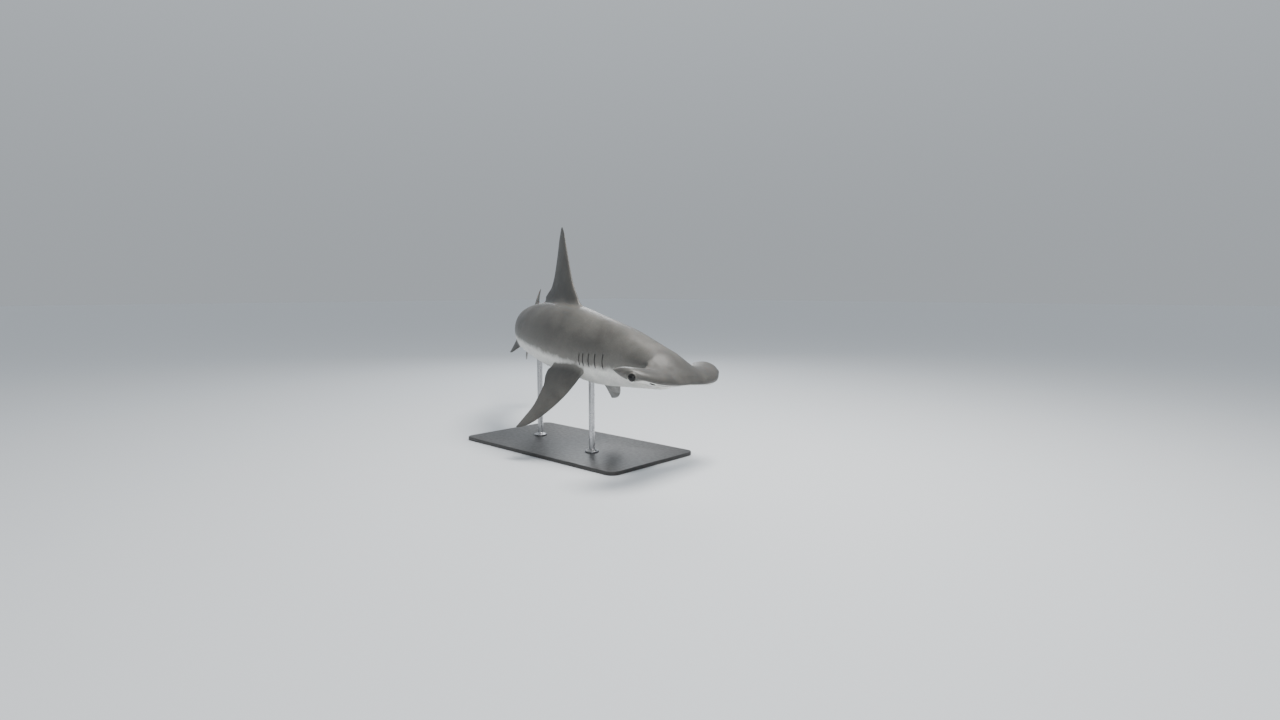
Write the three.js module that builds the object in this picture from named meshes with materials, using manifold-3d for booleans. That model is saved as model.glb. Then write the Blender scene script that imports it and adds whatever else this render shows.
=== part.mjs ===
// Great hammerhead shark, full grown, as a life-size museum model on a two-rod stand.
// Units are millimetres, +Z up, +X towards the head, +Y to the shark's left.
// Origin: centre of the underside of the stand's base.
// Along the body a place is (s, y, z): s is the part of the total length from the snout,
// y is to the shark's left and z towards its back, both as parts of the total length.
import * as THREE from 'three';
import Module from 'manifold-3d';

const wasm = await Module();
wasm.setup();

// Driving dimensions
const TOTAL_LENGTH = 3400;
const TRUNK_STATION = 0.30;
const TRUNK_HEIGHT = 720;
const TRUNK_X = 90;
const TRUNK_Y = -100;
const GAP = 0.3;
const RING_SIDES = 36;

// Pose: heading, dive and roll along the body, in degrees
const POSE_AT = [0, 0.12, 0.24, 0.36, 0.50, 0.64, 0.80, 1];
const HEADING = [2.7, 3, 0, -12.3, -29.3, -45.3, -63, -49];
const DIVE = [-36.5, -5.1, -7.8, -5.3, -4.4, -1, 1, 1.3];
const ROLL_AT = [0, 0.15, 0.24, 0.35, 0.6, 1];
const ROLL = [-5.7, 0.5, 1.9, -4.4, -12.4, 6];

// Body: height above and depth below the spine line, and half breadth
const BODY_AT = [0, 0.015, 0.03, 0.05, 0.08, 0.14, 0.22, 0.30, 0.42, 0.52, 0.62, 0.70, 0.76, 0.86, 1];
const BODY_TOP = [0.003, 0.011, 0.0175, 0.0262, 0.0344, 0.0544, 0.0684, 0.0773, 0.0665, 0.0487,
  0.033, 0.0215, 0.0165, 0.009, 0.003];
const BODY_LOW = [0.003, 0.0100, 0.0180, 0.0365, 0.0438, 0.0515, 0.0601, 0.0585, 0.0497, 0.0442,
  0.032, 0.0195, 0.0135, 0.007, 0.003];
const BODY_HALF = [0.022, 0.030, 0.040, 0.055, 0.0444, 0.0440, 0.0506, 0.0532, 0.049, 0.038,
  0.029, 0.0185, 0.0115, 0.0055, 0.0025];
const TAIL_RISE_AT = [0, 0.70, 0.74, 0.80, 0.88, 0.96, 1];
const TAIL_RISE = [0, 0, 0.009, 0.044, 0.101, 0.158, 0.185];

// Head: plan outline of one half (s, y) and the midline station of the ring that ends there
const PLAN = [
  [0.0016, 0, 0.0016], [0.0009, 0.0140, 0.0028], [0, 0.0320, 0.0044], [0.0012, 0.0600, 0.0072],
  [0.0050, 0.0850, 0.0108], [0.0112, 0.1000, 0.0146], [0.0180, 0.1105, 0.0186],
  [0.0250, 0.1180, 0.0222], [0.0350, 0.1238, 0.0256], [0.0470, 0.1252, 0.0288],
  [0.0620, 0.1242, 0.0318], [0.0745, 0.1210, 0.0346], [0.0795, 0.1137, 0.0374],
  [0.0730, 0.0980, 0.0408], [0.0630, 0.0800, 0.0450], [0.0580, 0.0640, 0.0500],
  [0.0600, 0.0540, 0.0566], [0.0655, 0.0490, 0.0645], [0.0740, 0.0455, 0.0735],
  [0.0860, 0.0435, 0.0860], [0.1000, 0.0430, 0.1000], [0.1200, 0.0434, 0.1200],
];
const PLAN_LAST = 0.12;
const SKULL_AT = [0, 0.015, 0.03, 0.05, 0.063, 0.067, 0.074, 0.086, 0.10, 0.12];
const SKULL_HALF = [0.022, 0.030, 0.042, 0.056, 0.054, 0.049, 0.0455, 0.0435, 0.043, 0.0434];
const WING_TOP = 0.0113;
const WING_LOW = 0.0105;
const WING_HALF_SPAN = 0.1255;
const SKULL_REACH = 0.076;
const WING_TWIST = -0.015;
const WING_PIVOT = 0.027;
const WING_CREST = 0.34;
const WING_END_POWER = 26;
const SNOUT_ROUNDING = 0.012;
const SKULL_BLEND = [0.048, 0.086];
const NECK_BLEND = [0.085, PLAN_LAST];
const TWIST_SPAN = [0.035, 0.105];
const TWIST_END = [0.075, 0.1];
const BELL_POWER = 1.5;
const MEET_POWER = 4;
const TAIL_END = 0.945;
const BODY_STATIONS = [0.14, 0.16, 0.18, 0.20, 0.22, 0.245, 0.27, 0.30, 0.33, 0.36, 0.39, 0.42,
  0.45, 0.48, 0.51, 0.54, 0.57, 0.60, 0.63, 0.66, 0.685, 0.71, 0.735, 0.76, 0.79, 0.82, 0.86,
  0.90, 0.93];

// Where the body is divided
const CUTS = [0.138, 0.229, 0.440, 0.585, 0.712];
const BODY_NODES = ['head', 'gill_section', 'trunk_front', 'trunk_rear', 'tail_stem', 'tail'];

// Head details
const EYE_AT = [0.0345, 0.1180, -0.0018];
const EYE_RADIUS = 28;
const MOUTH_FRONT = 0.0625;
const MOUTH_CORNER = [0.094, 0.0335];
const JAW_REAR = 0.115;
const JAW_LEVEL = -0.016;
const JAW_FLOOR = -0.09;
const JAW_CORNER = 0.004;
const JAW_STEPS = 8;
const MOUTH_GAP = 3;
const NOSTRIL_AT = [0.0085, 0.0935, -0.003];
const NOSTRIL_HALF = { long: 25, deep: 20, wide: 4 };
const NOSTRIL_SLANT = 0.38;
const NOSTRIL_DIP = 0.4;
const SLIT_HALF = { tall: 52, deep: 17, wide: 3.2 };
const SLIT_Z = -0.006;
const SLIT_LEAN = 9;
const SLIT_SHORTER = 2;
const SLIT_LOWER = 0.001;
const GILL_SLITS = [0.167, 0.184, 0.198, 0.211, 0.220];

// Stand
const BASE_SIZE = [1500, 760, 24];
const BASE_CORNER = 60;
const BASE_BEVEL = 4;
const ROD_RADIUS = 19;
const ROD_SIDES = 28;
const ROD_DEPTH = 0.6;
const FLANGE = [[0, 46], [10, 46], [16, 30], [22, ROD_RADIUS]];
const RODS = { stand_rod_front: [0.245, 0.004], stand_rod_rear: [0.445, 0] };

const rad = THREE.MathUtils.degToRad;
const clamp = THREE.MathUtils.clamp;

// Smooth curve through values that never overshoots them
function curve(xs, ys) {
  const n = xs.length;
  const h = [];
  const d = [];
  for (let i = 0; i < n - 1; i += 1) {
    h.push(xs[i + 1] - xs[i]);
    d.push((ys[i + 1] - ys[i]) / h[i]);
  }
  const endSlope = (h0, h1, d0, d1) => {
    const m = ((2 * h0 + h1) * d0 - h0 * d1) / (h0 + h1);
    if (m * d0 <= 0) return 0;
    if (d0 * d1 <= 0 && Math.abs(m) > 3 * Math.abs(d0)) return 3 * d0;
    return m;
  };
  const slope = new Array(n).fill(0);
  for (let i = 1; i < n - 1; i += 1) {
    if (d[i - 1] * d[i] > 0) {
      const a = 2 * h[i] + h[i - 1];
      const b = h[i] + 2 * h[i - 1];
      slope[i] = (a + b) / (a / d[i - 1] + b / d[i]);
    }
  }
  slope[0] = endSlope(h[0], h[1], d[0], d[1]);
  slope[n - 1] = endSlope(h[n - 2], h[n - 3], d[n - 2], d[n - 3]);
  return (x) => {
    const q = clamp(x, xs[0], xs[n - 1]);
    let i = 0;
    while (i < n - 2 && q > xs[i + 1]) i += 1;
    const t = (q - xs[i]) / h[i];
    const t2 = t * t;
    const t3 = t2 * t;
    return (2 * t3 - 3 * t2 + 1) * ys[i] + (t3 - 2 * t2 + t) * h[i] * slope[i]
      + (3 * t2 - 2 * t3) * ys[i + 1] + (t3 - t2) * h[i] * slope[i + 1];
  };
}

const smooth = (a, b, x) => {
  const t = clamp((x - a) / (b - a), 0, 1);
  return t * t * (3 - 2 * t);
};

// The spine: a table of places and directions along the body
const heading = curve(POSE_AT, HEADING);
const dive = curve(POSE_AT, DIVE);
const roll = curve(ROLL_AT, ROLL);
const SPINE_STEPS = 400;

function directionAt(s) {
  const a = rad(heading(s));
  const e = rad(dive(s));
  return new THREE.Vector3(Math.cos(a) * Math.cos(e), Math.sin(a) * Math.cos(e), Math.sin(e));
}

const spine = [new THREE.Vector3()];
for (let i = 1; i <= SPINE_STEPS; i += 1) {
  const step = directionAt((i - 0.5) / SPINE_STEPS).multiplyScalar(-TOTAL_LENGTH / SPINE_STEPS);
  spine.push(spine[i - 1].clone().add(step));
}
const spineShift = new THREE.Vector3(TRUNK_X, TRUNK_Y, TRUNK_HEIGHT)
  .sub(spine[Math.round(TRUNK_STATION * SPINE_STEPS)]);

// Axes of the body at a station: forward, left and up
function axesAt(s) {
  const front = directionAt(s);
  const a = rad(heading(s));
  const r = rad(roll(s));
  const left0 = new THREE.Vector3(-Math.sin(a), Math.cos(a), 0);
  const up0 = front.clone().cross(left0);
  const left = left0.clone().multiplyScalar(Math.cos(r)).addScaledVector(up0, Math.sin(r));
  const up = up0.clone().multiplyScalar(Math.cos(r)).addScaledVector(left0, -Math.sin(r));
  return { front, left, up };
}

// A place (s, y, z) of the straight body, carried to the bent one
function place(s, y, z) {
  const q = clamp(s, 0, 1) * SPINE_STEPS;
  const i = Math.min(Math.floor(q), SPINE_STEPS - 1);
  const { front, left, up } = axesAt(clamp(s, 0, 1));
  const beyond = s - clamp(s, 0, 1);
  return spine[i].clone().lerp(spine[i + 1], q - i).add(spineShift)
    .addScaledVector(front, -beyond * TOTAL_LENGTH)
    .addScaledVector(left, y * TOTAL_LENGTH)
    .addScaledVector(up, z * TOTAL_LENGTH);
}

// Same, but stiff: everything follows the axes of one station
function stiffPlace(s0) {
  const { front, left, up } = axesAt(s0);
  const origin = place(s0, 0, 0);
  return (s, y, z) => origin.clone()
    .addScaledVector(front, (s0 - s) * TOTAL_LENGTH)
    .addScaledVector(left, y * TOTAL_LENGTH)
    .addScaledVector(up, z * TOTAL_LENGTH);
}

// Closed solids from vertices and triangles
function solid(vertices, triangles) {
  const flat = new Float32Array(vertices.length * 3);
  vertices.forEach((v, i) => flat.set([v.x, v.y, v.z], i * 3));
  const made = new wasm.Manifold(new wasm.Mesh({
    numProp: 3, vertProperties: flat, triVerts: Uint32Array.from(triangles.flat()),
  }));
  if (made.volume() >= 0) return made;
  const turned = triangles.map(([a, b, c]) => [a, c, b]);
  return new wasm.Manifold(new wasm.Mesh({
    numProp: 3, vertProperties: flat, triVerts: Uint32Array.from(turned.flat()),
  }));
}

// A skin over rings of equal counts, closed at both ends on a point each.
// The split of each quad turns over from one part of a ring to the next: a fin has two
// parts, its faces, and the body four, so that both of its sides are split alike.
function loft(rings, first, last, parts = 2) {
  const n = rings[0].length;
  const vertices = [first, ...rings.flat(), last];
  const id = (i, j) => 1 + i * n + (j % n);
  const triangles = [];
  for (let j = 0; j < n; j += 1) {
    triangles.push([0, id(0, j + 1), id(0, j)]);
    triangles.push([vertices.length - 1, id(rings.length - 1, j), id(rings.length - 1, j + 1)]);
  }
  for (let i = 0; i < rings.length - 1; i += 1) {
    for (let j = 0; j < n; j += 1) {
      const a = id(i, j);
      const b = id(i, j + 1);
      const c = id(i + 1, j);
      const d = id(i + 1, j + 1);
      const turned = Math.floor(j * parts / n) % 2 === 1;
      if (turned) triangles.push([a, b, d], [a, d, c]);
      else triangles.push([a, b, c], [b, d, c]);
    }
  }
  return solid(vertices, triangles);
}

const midPoint = (points) => points
  .reduce((sum, p) => sum.add(p), new THREE.Vector3())
  .multiplyScalar(1 / points.length);

// Body form
const bodyTop = curve(BODY_AT, BODY_TOP);
const bodyLow = curve(BODY_AT, BODY_LOW);
const bodyHalf = curve(BODY_AT, BODY_HALF);
const skullHalf = curve(SKULL_AT, SKULL_HALF);
const tailRise = curve(TAIL_RISE_AT, TAIL_RISE);
const planFront = PLAN.slice(0, 10);
const planRear = PLAN.slice(9, 20).reverse();
const frontEdge = curve(planFront.map((p) => p[1]), planFront.map((p) => p[0]));
const rearEdge = curve([0, ...planRear.map((p) => p[1])], [0.125, ...planRear.map((p) => p[0])]);

// Thickness of the head's wings over their chord: blunt in front, fine behind
function wingShape(s, y) {
  const a = Math.abs(y);
  const from = frontEdge(a);
  const to = rearEdge(a);
  const x = clamp((s - from) / Math.max(to - from, 1e-6), 0, 1);
  const chord = x < WING_CREST
    ? Math.sqrt(1 - (1 - x / WING_CREST) ** 2)
    : 1 - ((x - WING_CREST) / (1 - WING_CREST)) ** 2;
  const end = Math.sqrt(Math.max(0, 1 - (a / WING_HALF_SPAN) ** WING_END_POWER));
  return chord * end;
}

// Height of the surface over the spine line at (s, y); side is 1 above and -1 below
function surfaceHeight(s, y, t, side) {
  const tall = side > 0 ? bodyTop(s) : bodyLow(s);
  if (s > PLAN_LAST) return tall * Math.sqrt(Math.max(0, 1 - t * t));
  const round = Math.sqrt(Math.max(0, 1 - (y / skullHalf(s)) ** 2));
  const bell = Math.cos(Math.PI / 2 * clamp(Math.abs(y) / SKULL_REACH, 0, 1)) ** BELL_POWER;
  const k = smooth(...SKULL_BLEND, s);
  const skull = tall * (round * k + bell * (1 - k)) * Math.min(1, Math.sqrt(s / SNOUT_ROUNDING));
  const neck = smooth(...NECK_BLEND, s);
  const wing = wingShape(s, y) * (side > 0 ? WING_TOP : WING_LOW) * (1 - neck);
  return (skull ** MEET_POWER + wing ** MEET_POWER) ** (1 / MEET_POWER);
}

// Rise of the head's mid plane: the wings are turned nose down against the skull
function wingRise(s, y) {
  return WING_TWIST * (s - WING_PIVOT) * smooth(...TWIST_SPAN, Math.abs(y))
    * (1 - smooth(...TWIST_END, s));
}

// One ring of the body: plan outline point and midline station, with an even skin offset
function bodyRing(edge, half, middle, grow) {
  const ring = [];
  const more = grow / TOTAL_LENGTH;
  for (let j = 0; j < RING_SIDES; j += 1) {
    const angle = 2 * Math.PI * j / RING_SIDES;
    const t = Math.cos(angle);
    const y = half * t;
    const s = middle + (edge - middle) * t * t;
    const side = j <= RING_SIDES / 2 ? 1 : -1;
    const atEdge = j === 0 || j === RING_SIDES / 2;
    const height = atEdge ? 0 : surfaceHeight(s, y, t, side);
    const z = tailRise(s) + wingRise(s, y) + side * height + Math.sin(angle) * more;
    ring.push(place(s, y + t * more, z));
  }
  return ring;
}

function bodySolid(grow) {
  const rings = [];
  for (let k = 1; k < PLAN.length; k += 1) {
    rings.push(bodyRing(PLAN[k][0], PLAN[k][1], PLAN[k][2], grow));
  }
  for (const s of BODY_STATIONS) rings.push(bodyRing(s, bodyHalf(s), s, grow));
  const more = grow / TOTAL_LENGTH;
  const nose = place(PLAN[0][0] - more, 0, 0);
  const end = place(TAIL_END + more, 0, tailRise(TAIL_END));
  return loft(rings, nose, end, 4);
}

// Fins: sections between a front and a rear edge, in the fin's own plane (along, out)
const FIN_STEPS = 9;
const FIN_NOSE = 2.6;
const FIN_HEEL = 0.10;

function finSection(front, rear, half, toSpace) {
  const above = [];
  const below = [];
  for (let k = 0; k <= FIN_STEPS; k += 1) {
    const x = 0.5 - 0.5 * Math.cos(Math.PI * k / FIN_STEPS);
    const form = FIN_NOSE * Math.sqrt(x) * (1 - x) + FIN_HEEL * x;
    const along = front[0] + (rear[0] - front[0]) * x;
    const out = front[1] + (rear[1] - front[1]) * x;
    const thick = half * Math.min(form, 1);
    above.push(toSpace(along, out, thick));
    if (k > 0) below.push(toSpace(along, out, -thick));
  }
  return [...above, ...below.reverse()];
}

function fin({ levels, front, rear, half, toSpace }) {
  const frontAlong = curve(front.map((p) => p[0]), front.map((p) => p[1]));
  const frontOut = curve(front.map((p) => p[0]), front.map((p) => p[2]));
  const rearAlong = curve(rear.map((p) => p[0]), rear.map((p) => p[1]));
  const rearOut = curve(rear.map((p) => p[0]), rear.map((p) => p[2]));
  const halfAt = curve(half.map((p) => p[0]), half.map((p) => p[1]));
  const rings = levels.map((v) => finSection(
    [frontAlong(v), frontOut(v)], [rearAlong(v), rearOut(v)], halfAt(v), toSpace,
  ));
  return loft(rings, midPoint(rings[0]), midPoint(rings[rings.length - 1]));
}

const evenLevels = (count) => {
  const list = [];
  for (let i = 0; i <= count; i += 1) list.push(Math.sin(Math.PI / 2 * i / count));
  return list;
};

const upright = (s, z, y) => place(s, y, z);

// Each edge is a list of (part of the span, s, z) or, for paired fins, (part, s, out)
const FINS = {
  first_dorsal_fin: {
    levels: evenLevels(13),
    front: [[0, 0.262, 0.050], [0.12, 0.2835, 0.083], [0.35, 0.312, 0.118], [0.62, 0.338, 0.160],
      [0.85, 0.362, 0.197], [0.95, 0.375, 0.213], [1, 0.388, 0.2215]],
    rear: [[0, 0.392, 0.050], [0.09, 0.437, 0.072], [0.16, 0.425, 0.0835], [0.30, 0.404, 0.100],
      [0.5, 0.3955, 0.130], [0.72, 0.3945, 0.165], [0.90, 0.396, 0.196], [1, 0.394, 0.217]],
    half: [[0, 0.0105], [0.14, 0.0072], [0.4, 0.0052], [0.8, 0.0026], [1, 0.0007]],
    toSpace: upright,
  },
  second_dorsal_fin: {
    levels: evenLevels(9),
    front: [[0, 0.602, 0.022], [0.2, 0.620, 0.037], [0.6, 0.645, 0.062], [0.9, 0.662, 0.0775],
      [1, 0.671, 0.0825]],
    rear: [[0, 0.680, 0.018], [0.12, 0.716, 0.030], [0.2, 0.707, 0.0360], [0.45, 0.688, 0.048],
      [0.75, 0.680, 0.065], [1, 0.676, 0.0815]],
    half: [[0, 0.0058], [0.2, 0.0036], [0.6, 0.0024], [1, 0.0006]],
    toSpace: upright,
  },
  anal_fin: {
    levels: evenLevels(9),
    front: [[0, 0.598, -0.022], [0.2, 0.612, -0.040], [0.6, 0.637, -0.068], [0.9, 0.654, -0.086],
      [1, 0.664, -0.0915]],
    rear: [[0, 0.672, -0.016], [0.12, 0.704, -0.028], [0.2, 0.694, -0.0345], [0.45, 0.674, -0.045],
      [0.75, 0.667, -0.066], [1, 0.668, -0.090]],
    half: [[0, 0.0054], [0.2, 0.0034], [0.6, 0.0022], [1, 0.0006]],
    toSpace: upright,
  },
};

// Paired fins: base line on the body, and the direction of the span
function pairedFin(side, base, lean, shape) {
  const toBody = stiffPlace(base.s);
  const out = new THREE.Vector3(0, side * lean[0], -lean[1]).normalize();
  const flat = new THREE.Vector3(0, -out.z * side, out.y * side);
  return {
    levels: evenLevels(shape.count),
    front: shape.front,
    rear: shape.rear,
    half: shape.half,
    toSpace: (s, span, thick) => toBody(
      s + base.back - base.sweep * span,
      side * base.y + out.y * span + flat.y * thick,
      base.z + out.z * span + flat.z * thick + (s - base.s) * base.slope,
    ),
  };
}

const PECTORAL = {
  count: 12,
  front: [[0, 0.204, -0.030], [0.15, 0.2125, 0.004], [0.40, 0.2245, 0.045], [0.70, 0.252, 0.093],
    [0.90, 0.283, 0.124], [1, 0.303, 0.1325]],
  rear: [[0, 0.268, -0.028], [0.13, 0.304, 0.008], [0.2, 0.303, 0.019], [0.35, 0.293, 0.042],
    [0.6, 0.291, 0.078], [0.85, 0.300, 0.113], [1, 0.3065, 0.131]],
  half: [[0, 0.0085], [0.2, 0.0060], [0.5, 0.0042], [0.85, 0.0022], [1, 0.0006]],
};
const PELVIC = {
  count: 8,
  front: [[0, 0.468, -0.020], [0.2, 0.478, 0.002], [0.6, 0.500, 0.023], [0.9, 0.518, 0.037],
    [1, 0.527, 0.040]],
  rear: [[0, 0.514, -0.018], [0.15, 0.550, 0.002], [0.3, 0.547, 0.011], [0.6, 0.539, 0.023],
    [1, 0.532, 0.0395]],
  half: [[0, 0.0052], [0.25, 0.0034], [0.6, 0.0022], [1, 0.0006]],
};
const PECTORAL_BASE = { s: 0.24, y: 0.044, z: -0.036, slope: -0.06, back: 0, sweep: 0 };
const PELVIC_BASE = { s: 0.49, y: 0.020, z: -0.028, slope: 0.10, back: -0.008, sweep: 0 };
FINS.pectoral_fin_right = pairedFin(-1, PECTORAL_BASE, [0.56, 0.83], PECTORAL);
const LEFT_BASE = { ...PECTORAL_BASE, back: 0.018, sweep: 0.08 };
FINS.pectoral_fin_left = pairedFin(1, LEFT_BASE, [0.71, 0.70], PECTORAL);
FINS.pelvic_fin_right = pairedFin(-1, PELVIC_BASE, [0.43, 0.90], PELVIC);
FINS.pelvic_fin_left = pairedFin(1, PELVIC_BASE, [0.43, 0.90], PELVIC);

// Tail fin: an upper lobe that carries the spine and a lower lobe, one form until it is cut
const UPPER_LOBE = {
  levels: evenLevels(16),
  front: [[0, 0.706, 0.006], [0.10, 0.735, 0.0275], [0.30, 0.790, 0.0600], [0.55, 0.850, 0.104],
    [0.80, 0.912, 0.146], [0.95, 0.945, 0.1665], [1, 0.956, 0.1715]],
  rear: [[0, 0.720, -0.010], [0.10, 0.772, -0.012], [0.18, 0.789, 0.006], [0.30, 0.815, 0.034],
    [0.50, 0.860, 0.074], [0.70, 0.903, 0.112], [0.80, 0.925, 0.134], [0.86, 0.944, 0.1385],
    [0.93, 0.952, 0.152], [1, 0.958, 0.1700]],
  half: [[0, 0.0090], [0.2, 0.0052], [0.5, 0.0034], [0.85, 0.0020], [1, 0.0006]],
  toSpace: upright,
};
const LOWER_LOBE = {
  levels: evenLevels(10),
  front: [[0, 0.712, 0.004], [0.12, 0.727, -0.018], [0.40, 0.752, -0.050], [0.75, 0.785, -0.090],
    [0.93, 0.803, -0.112], [1, 0.814, -0.1205]],
  rear: [[0, 0.790, 0.012], [0.20, 0.786, -0.016], [0.45, 0.790, -0.050], [0.75, 0.803, -0.088],
    [1, 0.8165, -0.1195]],
  half: [[0, 0.0060], [0.3, 0.0038], [0.7, 0.0024], [1, 0.0006]],
  toSpace: upright,
};
const LOBE_CUT = [[0.706, -0.0105], [0.800, 0.0085]];
const LOBE_REGION = [[0.69, -0.05], [0.85, -0.05], [0.85, 0.05], [0.69, 0.05]];
const LOBE_REACH = 0.25;

// A ball or stretched ball with given half axes
function ball(centre, axes, rows, sides) {
  const rings = [];
  const at = (a, b, c) => centre.clone().addScaledVector(axes[0], a)
    .addScaledVector(axes[1], b)
    .addScaledVector(axes[2], c);
  for (let i = 1; i < rows; i += 1) {
    const e = Math.PI * i / rows;
    const ring = [];
    for (let j = 0; j < sides; j += 1) {
      const a = 2 * Math.PI * j / sides;
      ring.push(at(Math.cos(e), Math.sin(e) * Math.cos(a), Math.sin(e) * Math.sin(a)));
    }
    rings.push(ring);
  }
  return loft(rings, at(1, 0, 0), at(-1, 0, 0));
}

// A plate with a plan outline, between two heights, carried by a place function
function plate(outline, low, high, toSpace) {
  const centre = outline.reduce((sum, p) => [sum[0] + p[0], sum[1] + p[1]], [0, 0])
    .map((v) => v / outline.length);
  const rings = [low, high].map((z) => outline.map((p) => toSpace(p[0], p[1], z)));
  return loft(rings, toSpace(centre[0], centre[1], low), toSpace(centre[0], centre[1], high));
}

// The mouth's curve and the pad of the lower jaw behind it, widened evenly and ahead
function jawOutline(ahead, around) {
  const [corner, side] = MOUTH_CORNER;
  const outline = [];
  for (let i = -JAW_STEPS; i <= JAW_STEPS; i += 1) {
    const t = i / JAW_STEPS;
    outline.push([MOUTH_FRONT + (corner - MOUTH_FRONT) * t * t, side * t]);
  }
  for (let i = JAW_STEPS - 1; i > -JAW_STEPS; i -= 1) {
    const t = i / JAW_STEPS;
    outline.push([JAW_REAR - (JAW_REAR - corner - JAW_CORNER) * t * t, side * t]);
  }
  return outline.map((p, i) => {
    const a = outline[(i + outline.length - 1) % outline.length];
    const b = outline[(i + 1) % outline.length];
    const out = new THREE.Vector2(b[1] - a[1], a[0] - b[0]).normalize();
    const more = around + (i > 0 && i < 2 * JAW_STEPS ? ahead : 0);
    return [p[0] - out.x * more, p[1] - out.y * more];
  });
}

// Divide a solid by a plane across the body
function halves(shape, s) {
  const { front } = axesAt(s);
  const distance = place(s, 0, 0).dot(front);
  const normal = [front.x, front.y, front.z];
  const ahead = shape.trimByPlane(normal, distance + GAP / 2);
  const behind = shape.trimByPlane(normal.map((v) => -v), -distance + GAP / 2);
  return [ahead, behind];
}

// Keep only the largest closed surface
function largest(shape) {
  const parts = shape.decompose();
  return parts.reduce((a, b) => (b.volume() > a.volume() ? b : a));
}

const nodes = {};
const whole = bodySolid(0);
const clearance = bodySolid(GAP);

// Slits and hollows
function nostril(side) {
  const centre = place(NOSTRIL_AT[0], side * NOSTRIL_AT[1], NOSTRIL_AT[2]);
  const { front, left, up } = axesAt(NOSTRIL_AT[0]);
  const along = left.clone().multiplyScalar(side).addScaledVector(front, -NOSTRIL_SLANT).normalize();
  const inward = front.clone().addScaledVector(up, -NOSTRIL_DIP).normalize();
  const across = along.clone().cross(inward).normalize();
  return ball(centre, [
    along.multiplyScalar(NOSTRIL_HALF.long),
    inward.multiplyScalar(NOSTRIL_HALF.deep),
    across.multiplyScalar(NOSTRIL_HALF.wide),
  ], 8, 10);
}

function gillSlit(s, side, index) {
  const z = SLIT_Z - SLIT_LOWER * index;
  const { front, left, up } = axesAt(s);
  const y = bodyHalf(s) * Math.sqrt(1 - (z / bodyLow(s)) ** 2);
  const centre = place(s, side * y, z);
  const tall = up.clone().multiplyScalar(SLIT_HALF.tall - SLIT_SHORTER * index);
  const deep = left.clone().multiplyScalar(side * SLIT_HALF.deep).addScaledVector(front, -SLIT_LEAN);
  const wide = front.clone().multiplyScalar(SLIT_HALF.wide)
    .addScaledVector(left, side * SLIT_HALF.wide * SLIT_LEAN / SLIT_HALF.deep);
  return ball(centre, [tall, deep, wide], 10, 8);
}

const eyeBall = (side, radius) => {
  const { front, left, up } = axesAt(EYE_AT[0]);
  return ball(place(EYE_AT[0], side * EYE_AT[1], EYE_AT[2]), [
    left.clone().multiplyScalar(radius * side),
    front.clone().multiplyScalar(radius),
    up.clone().multiplyScalar(radius),
  ], 10, 20);
};

// Body nodes from snout to tail
let rest = whole;
const bodyParts = {};
BODY_NODES.forEach((name, i) => {
  if (i === CUTS.length) {
    bodyParts[name] = rest;
    return;
  }
  const [ahead, behind] = halves(rest, CUTS[i]);
  bodyParts[name] = ahead;
  rest = behind;
});

const jawSpace = plate(jawOutline(0, 0), JAW_FLOOR, JAW_LEVEL, place);
const jawRoom = plate(jawOutline(MOUTH_GAP / TOTAL_LENGTH, GAP / TOTAL_LENGTH), 1.1 * JAW_FLOOR,
  JAW_LEVEL + GAP / TOTAL_LENGTH, place);
nodes.lower_jaw = bodyParts.head.intersect(jawSpace);
nodes.head = bodyParts.head.subtract(jawRoom);
nodes.gill_section = bodyParts.gill_section;
for (const [name, side] of [['eye_right', -1], ['eye_left', 1]]) {
  nodes[name] = eyeBall(side, EYE_RADIUS);
  nodes.head = nodes.head.subtract(eyeBall(side, EYE_RADIUS + GAP * 2)).subtract(nostril(side));
  GILL_SLITS.forEach((s, i) => {
    nodes.gill_section = nodes.gill_section.subtract(gillSlit(s, side, i));
  });
}
nodes.trunk_front = bodyParts.trunk_front;
nodes.trunk_rear = bodyParts.trunk_rear;
nodes.tail_stem = bodyParts.tail_stem;

// Tail fin, cut into its lobes
const [, tailOnly] = halves(fin(UPPER_LOBE).add(fin(LOWER_LOBE)).add(whole), CUTS[CUTS.length - 1]);
const lobeRoom = (from, to) => plate(LOBE_REGION, from, to, (s, y, z) => {
  const k = (s - LOBE_CUT[0][0]) / (LOBE_CUT[1][0] - LOBE_CUT[0][0]);
  return place(s, y, z + LOBE_CUT[0][1] + (LOBE_CUT[1][1] - LOBE_CUT[0][1]) * k);
});
const halfGap = GAP / TOTAL_LENGTH / 2;
nodes.caudal_upper_lobe = tailOnly.subtract(lobeRoom(-LOBE_REACH, halfGap));
nodes.caudal_lower_lobe = tailOnly.subtract(lobeRoom(-halfGap, LOBE_REACH));

for (const [name, shape] of Object.entries(FINS)) {
  nodes[name] = fin(shape).subtract(clearance);
}

// Stand
function roundedOutline(length, width, corner) {
  const outline = [];
  for (let i = 0; i < 4; i += 1) {
    const cx = (i === 0 || i === 3 ? 1 : -1) * (length / 2 - corner);
    const cy = (i < 2 ? 1 : -1) * (width / 2 - corner);
    for (let k = 0; k <= 8; k += 1) {
      const a = (i + k / 8) * Math.PI / 2;
      outline.push(new THREE.Vector2(cx + corner * Math.cos(a), cy + corner * Math.sin(a)));
    }
  }
  return outline;
}

function baseSolid() {
  const [length, width, thick] = BASE_SIZE;
  const levels = [[0, 0], [thick - BASE_BEVEL, 0], [thick, BASE_BEVEL]];
  const rings = levels.map(([z, inset]) => roundedOutline(
    length - 2 * inset, width - 2 * inset, BASE_CORNER - inset,
  ).map((p) => new THREE.Vector3(p.x, p.y, z)));
  return loft(rings, new THREE.Vector3(0, 0, 0), new THREE.Vector3(0, 0, thick));
}

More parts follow.
